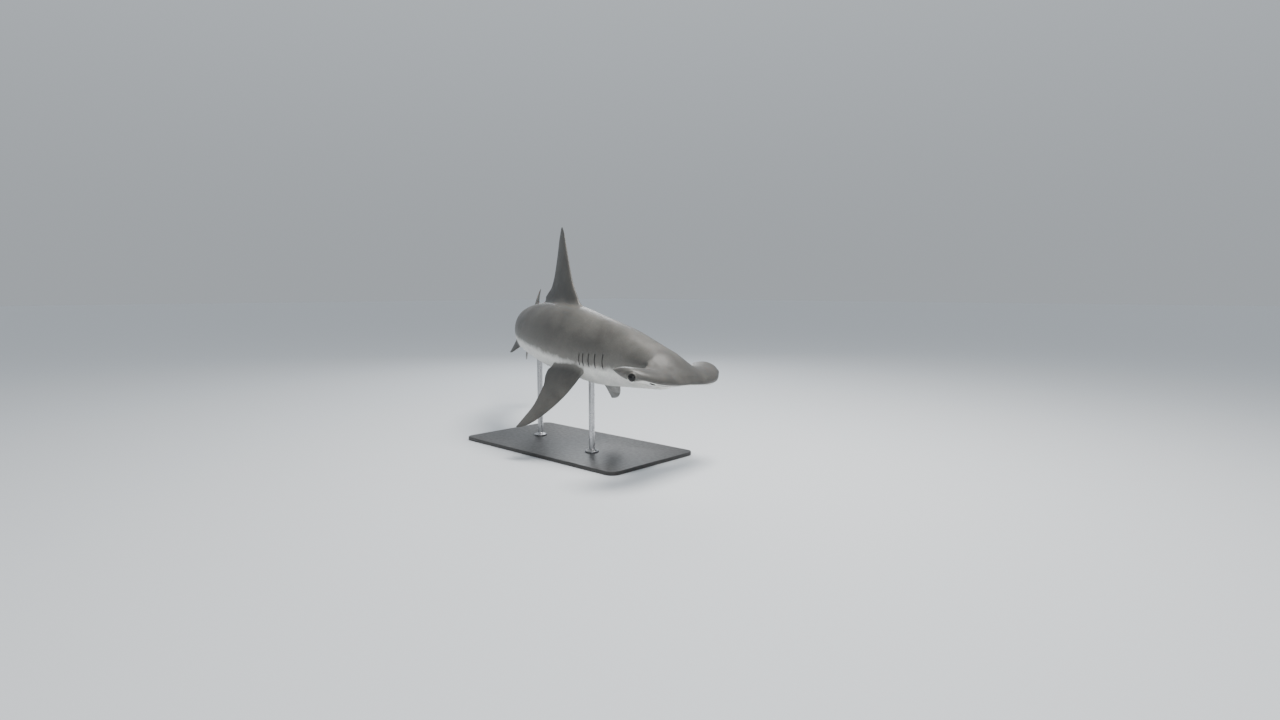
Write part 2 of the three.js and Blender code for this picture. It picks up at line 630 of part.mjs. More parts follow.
function rodSolid(s, y) {
  const foot = place(s, y, 0);
  const top = place(s, y, -bodyLow(s) * ROD_DEPTH);
  const start = BASE_SIZE[2] + GAP;
  const levels = [...FLANGE.map(([z, radius]) => [start + z, radius]), [top.z, ROD_RADIUS]];
  const rings = levels.map(([z, radius]) => {
    const ring = [];
    for (let j = 0; j < ROD_SIDES; j += 1) {
      const a = 2 * Math.PI * j / ROD_SIDES;
      ring.push(new THREE.Vector3(foot.x + radius * Math.cos(a), foot.y + radius * Math.sin(a), z));
    }
    return ring;
  });
  return loft(rings, new THREE.Vector3(foot.x, foot.y, start), new THREE.Vector3(foot.x, foot.y, top.z));
}

nodes.stand_base = baseSolid();
for (const [name, [s, y]] of Object.entries(RODS)) {
  nodes[name] = rodSolid(s, y).subtract(clearance);
}

// Looks and scene
const LOOKS = {
  skin: new THREE.MeshStandardMaterial({ color: 0x7d7c76, roughness: 0.55, metalness: 0 }),
  eye: new THREE.MeshStandardMaterial({ color: 0x14161a, roughness: 0.12, metalness: 0 }),
  stand: new THREE.MeshStandardMaterial({ color: 0x2b2d30, roughness: 0.45, metalness: 0.6 }),
};
const lookOf = (name) => {
  if (name.startsWith('eye')) return LOOKS.eye;
  return name.startsWith('stand') ? LOOKS.stand : LOOKS.skin;
};

const shark = new THREE.Group();
for (const [name, shape] of Object.entries(nodes)) {
  const made = largest(shape).getMesh();
  const geometry = new THREE.BufferGeometry();
  geometry.setAttribute('position', new THREE.BufferAttribute(made.vertProperties.slice(), 3));
  geometry.setIndex(new THREE.BufferAttribute(made.triVerts.slice(), 1));
  geometry.computeVertexNormals();
  const mesh = new THREE.Mesh(geometry, lookOf(name));
  mesh.name = name;
  shark.add(mesh);
}

export default shark;
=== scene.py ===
# Looks of the great hammerhead on its stand: one skin over the whole animal, eyes, stand and studio.
# Units are metres. Along the body a place is (s, y, z): s is the part of the total length from the
# snout, y is to the shark's left and z towards its back, both as parts of the total length.
import math

import bpy
import numpy as np
from mathutils import Matrix, Vector, kdtree


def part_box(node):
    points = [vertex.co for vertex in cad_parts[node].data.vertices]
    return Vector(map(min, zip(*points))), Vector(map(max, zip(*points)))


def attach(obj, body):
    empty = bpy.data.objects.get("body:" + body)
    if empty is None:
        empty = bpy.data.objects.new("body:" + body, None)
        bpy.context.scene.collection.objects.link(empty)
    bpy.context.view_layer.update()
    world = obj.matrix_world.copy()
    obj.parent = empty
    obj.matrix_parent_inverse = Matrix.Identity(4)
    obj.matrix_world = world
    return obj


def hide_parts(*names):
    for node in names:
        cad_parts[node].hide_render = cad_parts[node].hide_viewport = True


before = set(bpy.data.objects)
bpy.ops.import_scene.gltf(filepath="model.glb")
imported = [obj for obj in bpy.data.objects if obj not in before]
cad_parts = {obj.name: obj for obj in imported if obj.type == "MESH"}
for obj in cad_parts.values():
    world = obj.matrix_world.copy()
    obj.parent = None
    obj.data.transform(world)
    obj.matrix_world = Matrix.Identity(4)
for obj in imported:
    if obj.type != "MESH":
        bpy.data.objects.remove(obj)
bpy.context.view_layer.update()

# Size and pose
TOTAL_LENGTH = 3.4
TRUNK_STATION = 0.30
TRUNK_PLACE = (0.09, -0.10, 0.72)
POSE_AT = [0, 0.12, 0.24, 0.36, 0.50, 0.64, 0.80, 1]
HEADING = [2.7, 3, 0, -12.3, -29.3, -45.3, -63, -49]
DIVE = [-36.5, -5.1, -7.8, -5.3, -4.4, -1, 1, 1.3]
ROLL_AT = [0, 0.15, 0.24, 0.35, 0.6, 1]
ROLL = [-5.7, 0.5, 1.9, -4.4, -12.4, 6]
SPINE_STEPS = 400

# Body: height above and depth below the spine line, and half breadth
BODY_AT = [0, 0.015, 0.03, 0.05, 0.08, 0.14, 0.22, 0.30, 0.42, 0.52, 0.62, 0.70, 0.76, 0.86, 1]
BODY_TOP = [0.003, 0.011, 0.0175, 0.0262, 0.0344, 0.0544, 0.0684, 0.0773, 0.0665, 0.0487,
            0.033, 0.0215, 0.0165, 0.009, 0.003]
BODY_LOW = [0.003, 0.0100, 0.0180, 0.0365, 0.0438, 0.0515, 0.0601, 0.0585, 0.0497, 0.0442,
            0.032, 0.0195, 0.0135, 0.007, 0.003]
BODY_HALF = [0.022, 0.030, 0.040, 0.055, 0.0444, 0.0440, 0.0506, 0.0532, 0.049, 0.038,
             0.029, 0.0185, 0.0115, 0.0055, 0.0025]
TAIL_RISE_AT = [0, 0.70, 0.74, 0.80, 0.88, 0.96, 1]
TAIL_RISE = [0, 0, 0.009, 0.044, 0.101, 0.158, 0.185]
TAIL_END = 0.9445

# Head: plan outline of one half (s, y) and the midline station of the ring that ends there
PLAN = [
    (0.0016, 0, 0.0016), (0.0009, 0.0140, 0.0028), (0, 0.0320, 0.0044), (0.0012, 0.0600, 0.0072),
    (0.0050, 0.0850, 0.0108), (0.0112, 0.1000, 0.0146), (0.0180, 0.1105, 0.0186),
    (0.0250, 0.1180, 0.0222), (0.0350, 0.1238, 0.0256), (0.0470, 0.1252, 0.0288),
    (0.0620, 0.1242, 0.0318), (0.0745, 0.1210, 0.0346), (0.0795, 0.1137, 0.0374),
    (0.0730, 0.0980, 0.0408), (0.0630, 0.0800, 0.0450), (0.0580, 0.0640, 0.0500),
    (0.0600, 0.0540, 0.0566), (0.0655, 0.0490, 0.0645), (0.0740, 0.0455, 0.0735),
    (0.0860, 0.0435, 0.0860), (0.1000, 0.0430, 0.1000), (0.1200, 0.0434, 0.1200),
]
PLAN_LAST = 0.12
SKULL_AT = [0, 0.015, 0.03, 0.05, 0.063, 0.067, 0.074, 0.086, 0.10, 0.12]
SKULL_HALF = [0.022, 0.030, 0.042, 0.056, 0.054, 0.049, 0.0455, 0.0435, 0.043, 0.0434]
SKULL_REACH = 0.076
WING_TOP = 0.0113
WING_LOW = 0.0105
WING_HALF_SPAN = 0.1255
WING_TWIST = -0.015
WING_PIVOT = 0.027
WING_CREST = 0.34
WING_END_POWER = 26
SNOUT_ROUNDING = 0.012
SKULL_BLEND = (0.048, 0.086)
BELL_POWER = 1.5
MEET_POWER = 4
NECK_FADE = (0.085, PLAN_LAST)
NECK_ROUND = (0.080, 0.098)
TWIST_SPAN = (0.035, 0.105)
TWIST_END = (0.075, 0.1)

# Skin resolution: rings between neighbouring rows of the head plan, and steps along the body
RING_SIDES = 168
HEAD_RINGS = [4, 4, 6, 8, 10, 16, 16, 16, 14, 12, 10, 10, 10, 8, 8, 8, 8, 9, 10, 10, 10]
BODY_STEP = 0.0029
TAIL_STEP = 0.0052
GILL_STEP = 0.0009
FIN_STEPS = 22
HEAD_SCALE = 1
TRUNK_END = 0.45
RING_JOINT = 0.003
TAIL_CLEAR = 0.008
GILL_REGION = (0.01, 0.0035)
SKIN_INSET = 0.0014
MILLIMETRES = TOTAL_LENGTH * 1000

# Head and throat details
EYE_AT = (0.0345, 0.1180, -0.0018)
EYE_RADIUS = 0.028
EYE_TILT = 16
EYE_DISH = 0.0034
EYE_DISH_REACH = 0.038
EYE_DISH_FLAT = 0.45
EYE_DISH_SIDE = (0.100, 0.108)
LID_OPENING = 53.5
LID_PROFILE = ((-90, -0.0012), (-4, -0.0012), (0, 0), (2.5, 0.0014), (6, 0.0021), (10, 0.0018),
               (20, 0.0006), (90, 0.0004))
MOUTH_FRONT = 0.0625
MOUTH_CORNER = (0.094, 0.0335)
NOSTRIL_AT = (0.0935, -0.0035)
NOSTRIL_SLANT = 0.10
GILL_SLITS = [0.167, 0.184, 0.198, 0.211, 0.220]
GILL_DEPTH = 0.0021
GILL_MIDDLE = (-0.006, -0.001)
GILL_HALF = (0.052, -0.002)
GILL_BOW = 0.0016
PIT_AT = 0.706
PIT_HALF = (0.0055, 0.012)
PIT_DEPTH = 0.0032
MOUTH_DEPTH = 0.0030
NOSTRIL_DEPTH = 0.0042
NOSTRIL_NEAR = (0.030, 0.022)

# Widths of the carved grooves in millimetres; a fold or hollow is (part of the depth, behind, width)
GILL_LIP = 2.0
GILL_WALL = 5.0
GILL_HOLLOW = (0.25, 11, 9)
MOUTH_LIP = 6.5
MOUTH_WALL = 8.5
MOUTH_FOLD = (0.25, 20, 7)
NOSTRIL_HALF = 4.2
NOSTRIL_ENDS = (27, 17)
TRAIL_DEPTH = 0.35
TRAIL_HALF = 4.0
TRAIL_START = (0, -20)
TRAIL_END = (-120, -60)

# Shade: above 0 the skin is grey, below 0 pale; the border sinks lower towards the tail
SHADE_AT = [0, 0.03, 0.055, 0.10, 0.14, 0.50, 0.72, 1]
# The high lift behind the wings brings the grey lower there: partly the animal's own grey, partly painted
# shade of the side behind the wings
SHADE_LIFT = [0.10, 0.14, 0.50, 0.50, 0.33, 0.36, 0.55, 0.7]
TIP_LIFT = 0.46
TIP_SIDE = (0.106, 0.118)
HEAD_FADE = (0.13, 0.06)
HEAD_EVEN = 0.65

# Photo: its focal length and the camera's place, as found from the animal's outline
PHOTO_FOCAL_PX = 700
PHOTO_WIDTH_PX = 1280
SENSOR_WIDTH = 36
CAMERA_HEADING = 42.92
CAMERA_DOWN = 5.71
CAMERA_DISTANCE = 1.3542
CAMERA_SHIFT = (0.133, -0.0319)


# Smooth curve through values that never overshoots them
def curve(xs, ys):
    xs = np.array(xs, float)
    ys = np.array(ys, float)
    h = np.diff(xs)
    d = np.diff(ys) / h
    slope = np.zeros(len(xs))
    for i in range(1, len(xs) - 1):
        if d[i - 1] * d[i] > 0:
            a = 2 * h[i] + h[i - 1]
            b = h[i] + 2 * h[i - 1]
            slope[i] = (a + b) / (a / d[i - 1] + b / d[i])

    def end_slope(h0, h1, d0, d1):
        m = ((2 * h0 + h1) * d0 - h0 * d1) / (h0 + h1)
        if m * d0 <= 0:
            return 0
        if d0 * d1 <= 0 and abs(m) > 3 * abs(d0):
            return 3 * d0
        return m

    slope[0] = end_slope(h[0], h[1], d[0], d[1])
    slope[-1] = end_slope(h[-1], h[-2], d[-1], d[-2])

    def at(x):
        q = np.clip(np.asarray(x, float), xs[0], xs[-1])
        i = np.clip(np.searchsorted(xs, q, side="left") - 1, 0, len(h) - 1)
        t = (q - xs[i]) / h[i]
        t2 = t * t
        t3 = t2 * t
        return ((2 * t3 - 3 * t2 + 1) * ys[i] + (t3 - 2 * t2 + t) * h[i] * slope[i]
                + (3 * t2 - 2 * t3) * ys[i + 1] + (t3 - t2) * h[i] * slope[i + 1])

    return at


def smooth(a, b, x):
    t = np.clip((x - a) / (b - a), 0, 1)
    return t * t * (3 - 2 * t)


# The spine: places and directions along the body
heading = curve(POSE_AT, HEADING)
dive = curve(POSE_AT, DIVE)
roll = curve(ROLL_AT, ROLL)


def direction_at(s):
    a = np.radians(heading(s))
    e = np.radians(dive(s))
    return np.stack([np.cos(a) * np.cos(e), np.sin(a) * np.cos(e), np.sin(e)], -1)


def make_spine():
    middles = (np.arange(SPINE_STEPS) + 0.5) / SPINE_STEPS
    steps = direction_at(middles) * (-TOTAL_LENGTH / SPINE_STEPS)
    line = np.vstack([np.zeros((1, 3)), np.cumsum(steps, 0)])
    return line + np.array(TRUNK_PLACE) - line[round(TRUNK_STATION * SPINE_STEPS)]


spine = make_spine()


def axes_at(s):
    front = direction_at(s)
    a = np.radians(heading(s))
    r = np.radians(roll(s))[..., None]
    left0 = np.stack([-np.sin(a), np.cos(a), np.zeros_like(a)], -1)
    up0 = np.cross(front, left0)
    left = left0 * np.cos(r) + up0 * np.sin(r)
    up = up0 * np.cos(r) - left0 * np.sin(r)
    return front, left, up


def spine_at(s):
    q = np.clip(s, 0, 1) * SPINE_STEPS
    i = np.minimum(np.floor(q).astype(int), SPINE_STEPS - 1)
    t = (q - i)[..., None]
    return spine[i] * (1 - t) + spine[i + 1] * t


def place(s, y, z):
    s, y, z = np.broadcast_arrays(*[np.asarray(v, float) for v in (s, y, z)])
    front, left, up = axes_at(np.clip(s, 0, 1))
    beyond = (s - np.clip(s, 0, 1))[..., None]
    return (spine_at(s) - front * beyond * TOTAL_LENGTH
            + left * y[..., None] * TOTAL_LENGTH + up * z[..., None] * TOTAL_LENGTH)


def stiff_place(s0):
    front, left, up = axes_at(np.array(s0))
    origin = place(s0, 0, 0)

    def at(s, y, z):
        s, y, z = np.broadcast_arrays(*[np.asarray(v, float) for v in (s, y, z)])
        return (origin + front * (s0 - s)[..., None] * TOTAL_LENGTH
                + left * y[..., None] * TOTAL_LENGTH + up * z[..., None] * TOTAL_LENGTH)

    return at


# Meshes over rings of equal counts, closed at both ends on a point each
def mesh_object(name, points, faces):
    mesh = bpy.data.meshes.new(name)
    mesh.from_pydata([tuple(p) for p in points], [], faces)
    mesh.validate()
    obj = bpy.data.objects.new(name, mesh)
    bpy.context.scene.collection.objects.link(obj)
    return obj


def loft(name, rings, first, last, marks=None):
    rows, n = rings.shape[:2]
    points = np.vstack([first[None], rings.reshape(-1, 3), last[None]])
    end = rows * n + 1
    faces = []
    for j in range(n):
        k = (j + 1) % n
        faces.append((0, 1 + k, 1 + j))
        faces.append((end, 1 + (rows - 1) * n + j, 1 + (rows - 1) * n + k))
    for i in range(rows - 1):
        for j in range(n):
            k = (j + 1) % n
            a = 1 + i * n
            faces.append((a + j, a + k, a + n + k, a + n + j))
    obj = mesh_object(name, points, faces)
    if marks is not None:
        ends = marks[[0, -1]].mean(1)
        write_marks(obj.data, np.vstack([ends[:1], marks.reshape(-1, MARKS), ends[1:]]))
    flip_if_inside_out(obj)
    return obj


# Marks of each point: place in the body's own millimetres, shade, and 1 on a fin
MARKS = 5


def write_marks(mesh, marks):
    for name, kind, values in (("place", "FLOAT_VECTOR", marks[:, :3]), ("shade", "FLOAT", marks[:, 3]),
                               ("fin", "FLOAT", marks[:, 4])):
        layer = mesh.attributes.get(name) or mesh.attributes.new(name, kind, "POINT")
        key = "vector" if kind == "FLOAT_VECTOR" else "value"
        layer.data.foreach_set(key, np.ascontiguousarray(values, np.float32).ravel())


def read_marks(mesh):
    place_values = np.empty(len(mesh.vertices) * 3, np.float32)
    mesh.attributes["place"].data.foreach_get("vector", place_values)
    columns = [place_values.reshape(-1, 3)]
    for name in ("shade", "fin"):
        values = np.empty(len(mesh.vertices), np.float32)
        mesh.attributes[name].data.foreach_get("value", values)
        columns.append(values[:, None])
    return np.hstack(columns).astype(float)


def mesh_points(mesh):
    flat = np.empty(len(mesh.vertices) * 3)
    mesh.vertices.foreach_get("co", flat)
    return flat.reshape(-1, 3)


def flip_if_inside_out(obj):
    mesh = obj.data
    mesh.calc_loop_triangles()
    corners = np.empty(len(mesh.loop_triangles) * 3, int)
    mesh.loop_triangles.foreach_get("vertices", corners)
    p = mesh_points(mesh)[corners.reshape(-1, 3)]
    if np.einsum("ij,ij->i", p[:, 0], np.cross(p[:, 1], p[:, 2])).sum() < 0:
        mesh.flip_normals()


# Body form
body_top = curve(BODY_AT, BODY_TOP)
body_low = curve(BODY_AT, BODY_LOW)
body_half = curve(BODY_AT, BODY_HALF)
skull_half = curve(SKULL_AT, SKULL_HALF)
tail_rise = curve(TAIL_RISE_AT, TAIL_RISE)
front_edge = curve([p[1] for p in PLAN[:10]], [p[0] for p in PLAN[:10]])
rear_part = PLAN[9:20][::-1]
rear_edge = curve([0] + [p[1] for p in rear_part], [0.125] + [p[0] for p in rear_part])


def wing_shape(s, y):
    a = np.abs(y)
    start = front_edge(a)
    stop = rear_edge(a)
    x = np.clip((s - start) / np.maximum(stop - start, 1e-6), 0, 1)
    blunt = np.sqrt(np.maximum(0, 1 - (1 - np.minimum(x / WING_CREST, 1)) ** 2))
    fine = 1 - (np.maximum(x - WING_CREST, 0) / (1 - WING_CREST)) ** 2
    end = np.sqrt(np.maximum(0, 1 - (a / WING_HALF_SPAN) ** WING_END_POWER))
    return np.where(x < WING_CREST, blunt, fine) * end


def surface_height(s, y, t, above):
    tall = np.where(above, body_top(s), body_low(s))
    plain = tall * np.sqrt(np.maximum(0, 1 - t * t))
    round_part = np.sqrt(np.maximum(0, 1 - (y / skull_half(s)) ** 2))
    bell = np.cos(np.pi / 2 * np.clip(np.abs(y) / SKULL_REACH, 0, 1)) ** BELL_POWER
    k = smooth(*SKULL_BLEND, s)
    snout = np.minimum(1, np.sqrt(np.maximum(s, 0) / SNOUT_ROUNDING))
    skull = tall * (round_part * k + bell * (1 - k)) * snout
    neck = smooth(*NECK_FADE, s)
    wing = wing_shape(s, y) * np.where(above, WING_TOP, WING_LOW) * (1 - neck)
    head = (skull ** MEET_POWER + wing ** MEET_POWER) ** (1 / MEET_POWER)
    return head + (plain - head) * smooth(*NECK_ROUND, s)


def wing_rise(s, y):
    return (WING_TWIST * (s - WING_PIVOT) * smooth(*TWIST_SPAN, np.abs(y))
            * (1 - smooth(*TWIST_END, s)))


# Details carved into the skin, all in the body's own coordinates
def gill_slit_depth(s, z):
    depth = np.zeros_like(s)
    for i, slit in enumerate(GILL_SLITS):
        middle = GILL_MIDDLE[0] + GILL_MIDDLE[1] * i
        half = (GILL_HALF[0] + GILL_HALF[1] * i) / TOTAL_LENGTH
        up = (z - middle) / half
        bend = GILL_BOW * (0.5 - up ** 2)
        d = (s - slit - bend) * MILLIMETRES
        length = smooth(1.0, 0.80, np.abs(up))
        groove = np.exp(-(d / np.where(d < 0, GILL_LIP, GILL_WALL)) ** 2)
        part, back, width = GILL_HOLLOW
        behind = part * np.exp(-((d - back) / width) ** 2)
        depth = np.maximum(depth, length * (groove + behind))
    return depth * GILL_DEPTH


def mouth_depth(s, y, z):
    reach = np.clip(np.abs(y) / MOUTH_CORNER[1], 0, 1.2)
    line = MOUTH_FRONT + (MOUTH_CORNER[0] - MOUTH_FRONT) * reach ** 2
    d = (s - line) * MILLIMETRES
    ends = smooth(1.05, 0.75, reach)
    lip = np.exp(-(d / np.where(d < 0, MOUTH_LIP, MOUTH_WALL)) ** 2)
    part, back, width = MOUTH_FOLD
    fold = part * np.exp(-((d - back) / width) ** 2) * smooth(0.25, 0.8, reach)
    return np.where(z < 0, (lip + fold) * ends * MOUTH_DEPTH, 0)


def nostril_depth(s, y, z):
    across = (z - NOSTRIL_AT[1]) * MILLIMETRES
    along = (np.abs(y) - NOSTRIL_AT[0]) * MILLIMETRES
    slant = across - NOSTRIL_SLANT * along
    shape = np.exp(-(slant / NOSTRIL_HALF) ** 4) * smooth(*NOSTRIL_ENDS, np.abs(along))
    trail = TRAIL_DEPTH * np.exp(-(slant / TRAIL_HALF) ** 2)
    trail = trail * smooth(*TRAIL_START, along) * smooth(*TRAIL_END, along)
    return np.maximum(shape, trail) * smooth(*NOSTRIL_NEAR, s) * NOSTRIL_DEPTH


def eye_dish_depth(s, y, z):
    away = np.hypot(s - EYE_AT[0], z - EYE_AT[2]) * TOTAL_LENGTH
    dish = smooth(EYE_DISH_REACH, EYE_DISH_FLAT * EYE_DISH_REACH, away)
    return dish * smooth(*EYE_DISH_SIDE, np.abs(y)) * (EYE_DISH / TOTAL_LENGTH)


def precaudal_pit(s, y):
    d = np.hypot((s - PIT_AT) / PIT_HALF[0], y / PIT_HALF[1])
    return smooth(1, 0, d) * PIT_DEPTH


def carve(s, y, z, above):
    depth = gill_slit_depth(s, z) + eye_dish_depth(s, y, z)
    side = np.sign(y) * np.maximum(np.abs(y) - depth, 0)
    s = s + nostril_depth(s, y, z)
    z = z + mouth_depth(s, y, z)
    z = z - np.where(above, precaudal_pit(s, y), 0)
    return s, side, z


shade_lift = curve(SHADE_AT, SHADE_LIFT)


def body_shade(s, y, up):
    even = smooth(*HEAD_FADE, s)
    tip = TIP_LIFT * smooth(*TIP_SIDE, np.abs(y))
    return np.sign(up) * np.abs(up) ** (1 - HEAD_EVEN * even) + shade_lift(s) + tip


# How far the plan outline's edge faces forwards (1) or back (-1) at each ring
def outline_turn(edge, half):
    if len(edge) < 3 or edge[0] == edge[-1]:
        return np.zeros_like(half)
    along = np.gradient(edge[:, 0])[:, None]
    across = np.gradient(half[:, 0])[:, None]
    return across / np.maximum(np.hypot(along, across), 1e-9)


def ring_points(edge, half, middle):
    angle = 2 * np.pi * np.arange(RING_SIDES) / RING_SIDES
    t = np.cos(angle)[None]
    up = np.sin(angle)[None]
    edge, half, middle = [np.asarray(v, float)[:, None] for v in (edge, half, middle)]
    y = half * t
    s = middle + (edge - middle) * t * t
    above = np.broadcast_to(up > 0, y.shape)
    height = surface_height(s, y, np.broadcast_to(t, y.shape), above)
    height[:, [0, RING_SIDES // 2]] = 0
    inset = SKIN_INSET / TOTAL_LENGTH
    z = np.where(above, 1, -1) * height - up * inset
    y = y - t * inset
    s = s + outline_turn(edge, half) * t * t * inset
    shade = body_shade(s, y, np.broadcast_to(up, y.shape))
    marks = np.stack([s * MILLIMETRES, y * MILLIMETRES, z * MILLIMETRES, shade, 0 * s], -1)
    s, y, z = carve(s, y, z, above)
    return place(s, y, z + tail_rise(s) + wing_rise(s, y)), marks


def head_rows():
    rows = [0]
    for i, rings in enumerate(HEAD_RINGS):
        count = max(2, round(rings * HEAD_SCALE))
        rows.extend(i + (k + 1) / count for k in range(count))
    return np.array(rows[1:])


def body_stations():
    stations = [PLAN_LAST + RING_JOINT]
    while stations[-1] < TAIL_END - TAIL_CLEAR:
        s = stations[-1]
        gills = GILL_SLITS[0] - GILL_REGION[0] < s < GILL_SLITS[-1] + GILL_REGION[1]
        trunk = s < TRUNK_END
        stations.append(s + (GILL_STEP if gills else BODY_STEP if trunk else TAIL_STEP))
    return np.array(stations)


def make_body():
    index = np.arange(len(PLAN))
    edge, half, middle = [curve(index, [p[k] for p in PLAN]) for k in range(3)]
    u = head_rows()
    head, head_marks = ring_points(edge(u), half(u), middle(u))
    s = body_stations()
    rest, rest_marks = ring_points(s, body_half(s), s)
    nose = place(PLAN[0][0] + SKIN_INSET / TOTAL_LENGTH, 0, 0)
    end = place(TAIL_END, 0, tail_rise(TAIL_END))
    return loft("shark_skin", np.vstack([head, rest]), nose, end, np.vstack([head_marks, rest_marks]))


# Fins: sections between a front and a rear edge, in the fin's own plane
# Section: how full the nose is and how thick the rear edge stays. Dusk: where a lower face darkens
FIN_NOSE = 2.6
FIN_HEEL = 0.10
DUSK_TIP = (0.70, 1)
DUSK_REAR = (0.84, 1)
DUSK_REAR_PART = 0.8


# The tone of a fin is the shade of its upper face, of its lower face, and of the lower face's tip
def fin_mesh(name, levels, front, rear, half, tone, to_body, to_space):
    v = np.sin(np.pi / 2 * np.arange(levels + 1) / levels)
    front_along = curve([p[0] for p in front], [p[1] for p in front])(v)[:, None]
    front_out = curve([p[0] for p in front], [p[2] for p in front])(v)[:, None]
    rear_along = curve([p[0] for p in rear], [p[1] for p in rear])(v)[:, None]
    rear_out = curve([p[0] for p in rear], [p[2] for p in rear])(v)[:, None]
    thick = curve([p[0] for p in half], [p[1] for p in half])(v)[:, None]
    x = (0.5 - 0.5 * np.cos(np.pi * np.arange(FIN_STEPS + 1) / FIN_STEPS))[None]
    form = np.minimum(FIN_NOSE * np.sqrt(x) * (1 - x) + FIN_HEEL * x, 1)
    along = front_along + (rear_along - front_along) * x
    out = front_out + (rear_out - front_out) * x
    dusky = np.maximum(smooth(*DUSK_TIP, v[:, None]), DUSK_REAR_PART * smooth(*DUSK_REAR, x))
    upper = np.full(dusky.shape, tone[0])
    lower = tone[1] + (tone[2] - tone[1]) * dusky
    faces = []
    for sign, shade in ((1, upper), (-1, lower)):
        s, y, z = np.broadcast_arrays(*to_body(along, out, sign * thick * form))
        marks = np.stack([s * MILLIMETRES, y * MILLIMETRES, z * MILLIMETRES, shade, 1 + 0 * s], -1)
        faces.append((to_space(s, y, z), marks))
    rings, marks = [np.concatenate([faces[0][k], faces[1][k][:, 1:][:, ::-1]], 1) for k in (0, 1)]
    return loft(name, rings, rings[0].mean(0), rings[-1].mean(0), marks)


def upright(s, z, y):
    return s, y, z


# Each edge is a list of (part of the span, s, z) or, for paired fins, (part, s, out)
FINS = {
    "first_dorsal": dict(
        tone=(0.95, 0.95, 0.95),
        levels=40,
        front=[(0, 0.262, 0.050), (0.12, 0.2835, 0.083), (0.35, 0.312, 0.118), (0.62, 0.338, 0.160),
               (0.85, 0.362, 0.197), (0.95, 0.375, 0.213), (1, 0.388, 0.2215)],
        rear=[(0, 0.392, 0.050), (0.09, 0.437, 0.072), (0.16, 0.425, 0.0835), (0.30, 0.404, 0.100),
              (0.5, 0.3955, 0.130), (0.72, 0.3945, 0.165), (0.90, 0.396, 0.196), (1, 0.394, 0.217)],
        half=[(0, 0.0105), (0.14, 0.0072), (0.4, 0.0052), (0.8, 0.0026), (1, 0.0007)]),
    "second_dorsal": dict(
        tone=(0.80, 0.80, 0.80),
        levels=24,
        front=[(0, 0.602, 0.022), (0.2, 0.620, 0.037), (0.6, 0.645, 0.062), (0.9, 0.662, 0.0775),
               (1, 0.671, 0.0825)],
        rear=[(0, 0.680, 0.018), (0.12, 0.716, 0.030), (0.2, 0.707, 0.0360), (0.45, 0.688, 0.048),
              (0.75, 0.680, 0.065), (1, 0.676, 0.0815)],
        half=[(0, 0.0058), (0.2, 0.0036), (0.6, 0.0024), (1, 0.0006)]),
    "anal": dict(
        tone=(0.20, 0.20, 0.45),
        levels=24,
        front=[(0, 0.598, -0.022), (0.2, 0.612, -0.040), (0.6, 0.637, -0.068), (0.9, 0.654, -0.086),
               (1, 0.664, -0.0915)],
        rear=[(0, 0.672, -0.016), (0.12, 0.704, -0.028), (0.2, 0.694, -0.0345), (0.45, 0.674, -0.045),
              (0.75, 0.667, -0.066), (1, 0.668, -0.090)],
        half=[(0, 0.0054), (0.2, 0.0034), (0.6, 0.0022), (1, 0.0006)]),
    "upper_lobe": dict(
        tone=(0.85, 0.85, 0.85),
        levels=44,
        front=[(0, 0.706, 0.006), (0.10, 0.735, 0.0275), (0.30, 0.790, 0.0600), (0.55, 0.850, 0.104),
               (0.80, 0.912, 0.146), (0.95, 0.945, 0.1665), (1, 0.956, 0.1715)],
        rear=[(0, 0.720, -0.010), (0.10, 0.772, -0.012), (0.18, 0.789, 0.006), (0.30, 0.815, 0.034),
              (0.50, 0.860, 0.074), (0.70, 0.903, 0.112), (0.80, 0.925, 0.134), (0.86, 0.944, 0.1385),
              (0.93, 0.952, 0.152), (1, 0.958, 0.1700)],
        half=[(0, 0.0090), (0.2, 0.0052), (0.5, 0.0034), (0.85, 0.0020), (1, 0.0006)]),
    "lower_lobe": dict(
        tone=(0.55, 0.55, 0.75),
        levels=28,
        front=[(0, 0.712, 0.004), (0.12, 0.727, -0.018), (0.40, 0.752, -0.050), (0.75, 0.785, -0.090),
               (0.93, 0.803, -0.112), (1, 0.814, -0.1205)],
        rear=[(0, 0.790, 0.012), (0.20, 0.786, -0.016), (0.45, 0.790, -0.050), (0.75, 0.803, -0.088),
              (1, 0.8165, -0.1195)],
        half=[(0, 0.0060), (0.3, 0.0038), (0.7, 0.0024), (1, 0.0006)]),
}
PECTORAL = dict(
    # The lower face is mid grey, not pale: painted shade of the underside; the dusky tip is the fin's own
    tone=(0.92, 0.02, 0.75),
    levels=36,
    front=[(0, 0.204, -0.030), (0.15, 0.2125, 0.004), (0.40, 0.2245, 0.045), (0.70, 0.252, 0.093),
           (0.90, 0.283, 0.124), (1, 0.303, 0.1325)],
    rear=[(0, 0.268, -0.028), (0.13, 0.304, 0.008), (0.2, 0.303, 0.019), (0.35, 0.293, 0.042),
          (0.6, 0.291, 0.078), (0.85, 0.300, 0.113), (1, 0.3065, 0.131)],
    half=[(0, 0.0085), (0.2, 0.0060), (0.5, 0.0042), (0.85, 0.0022), (1, 0.0006)])
PELVIC = dict(
    tone=(0.70, -0.40, 0.30),
    levels=22,
    front=[(0, 0.468, -0.020), (0.2, 0.478, 0.002), (0.6, 0.500, 0.023), (0.9, 0.518, 0.037),
           (1, 0.527, 0.040)],
    rear=[(0, 0.514, -0.018), (0.15, 0.550, 0.002), (0.3, 0.547, 0.011), (0.6, 0.539, 0.023),
          (1, 0.532, 0.0395)],
    half=[(0, 0.0052), (0.25, 0.0034), (0.6, 0.0022), (1, 0.0006)])
PECTORAL_BASE = dict(s=0.24, y=0.044, z=-0.036, slope=-0.06, back=0, sweep=0)
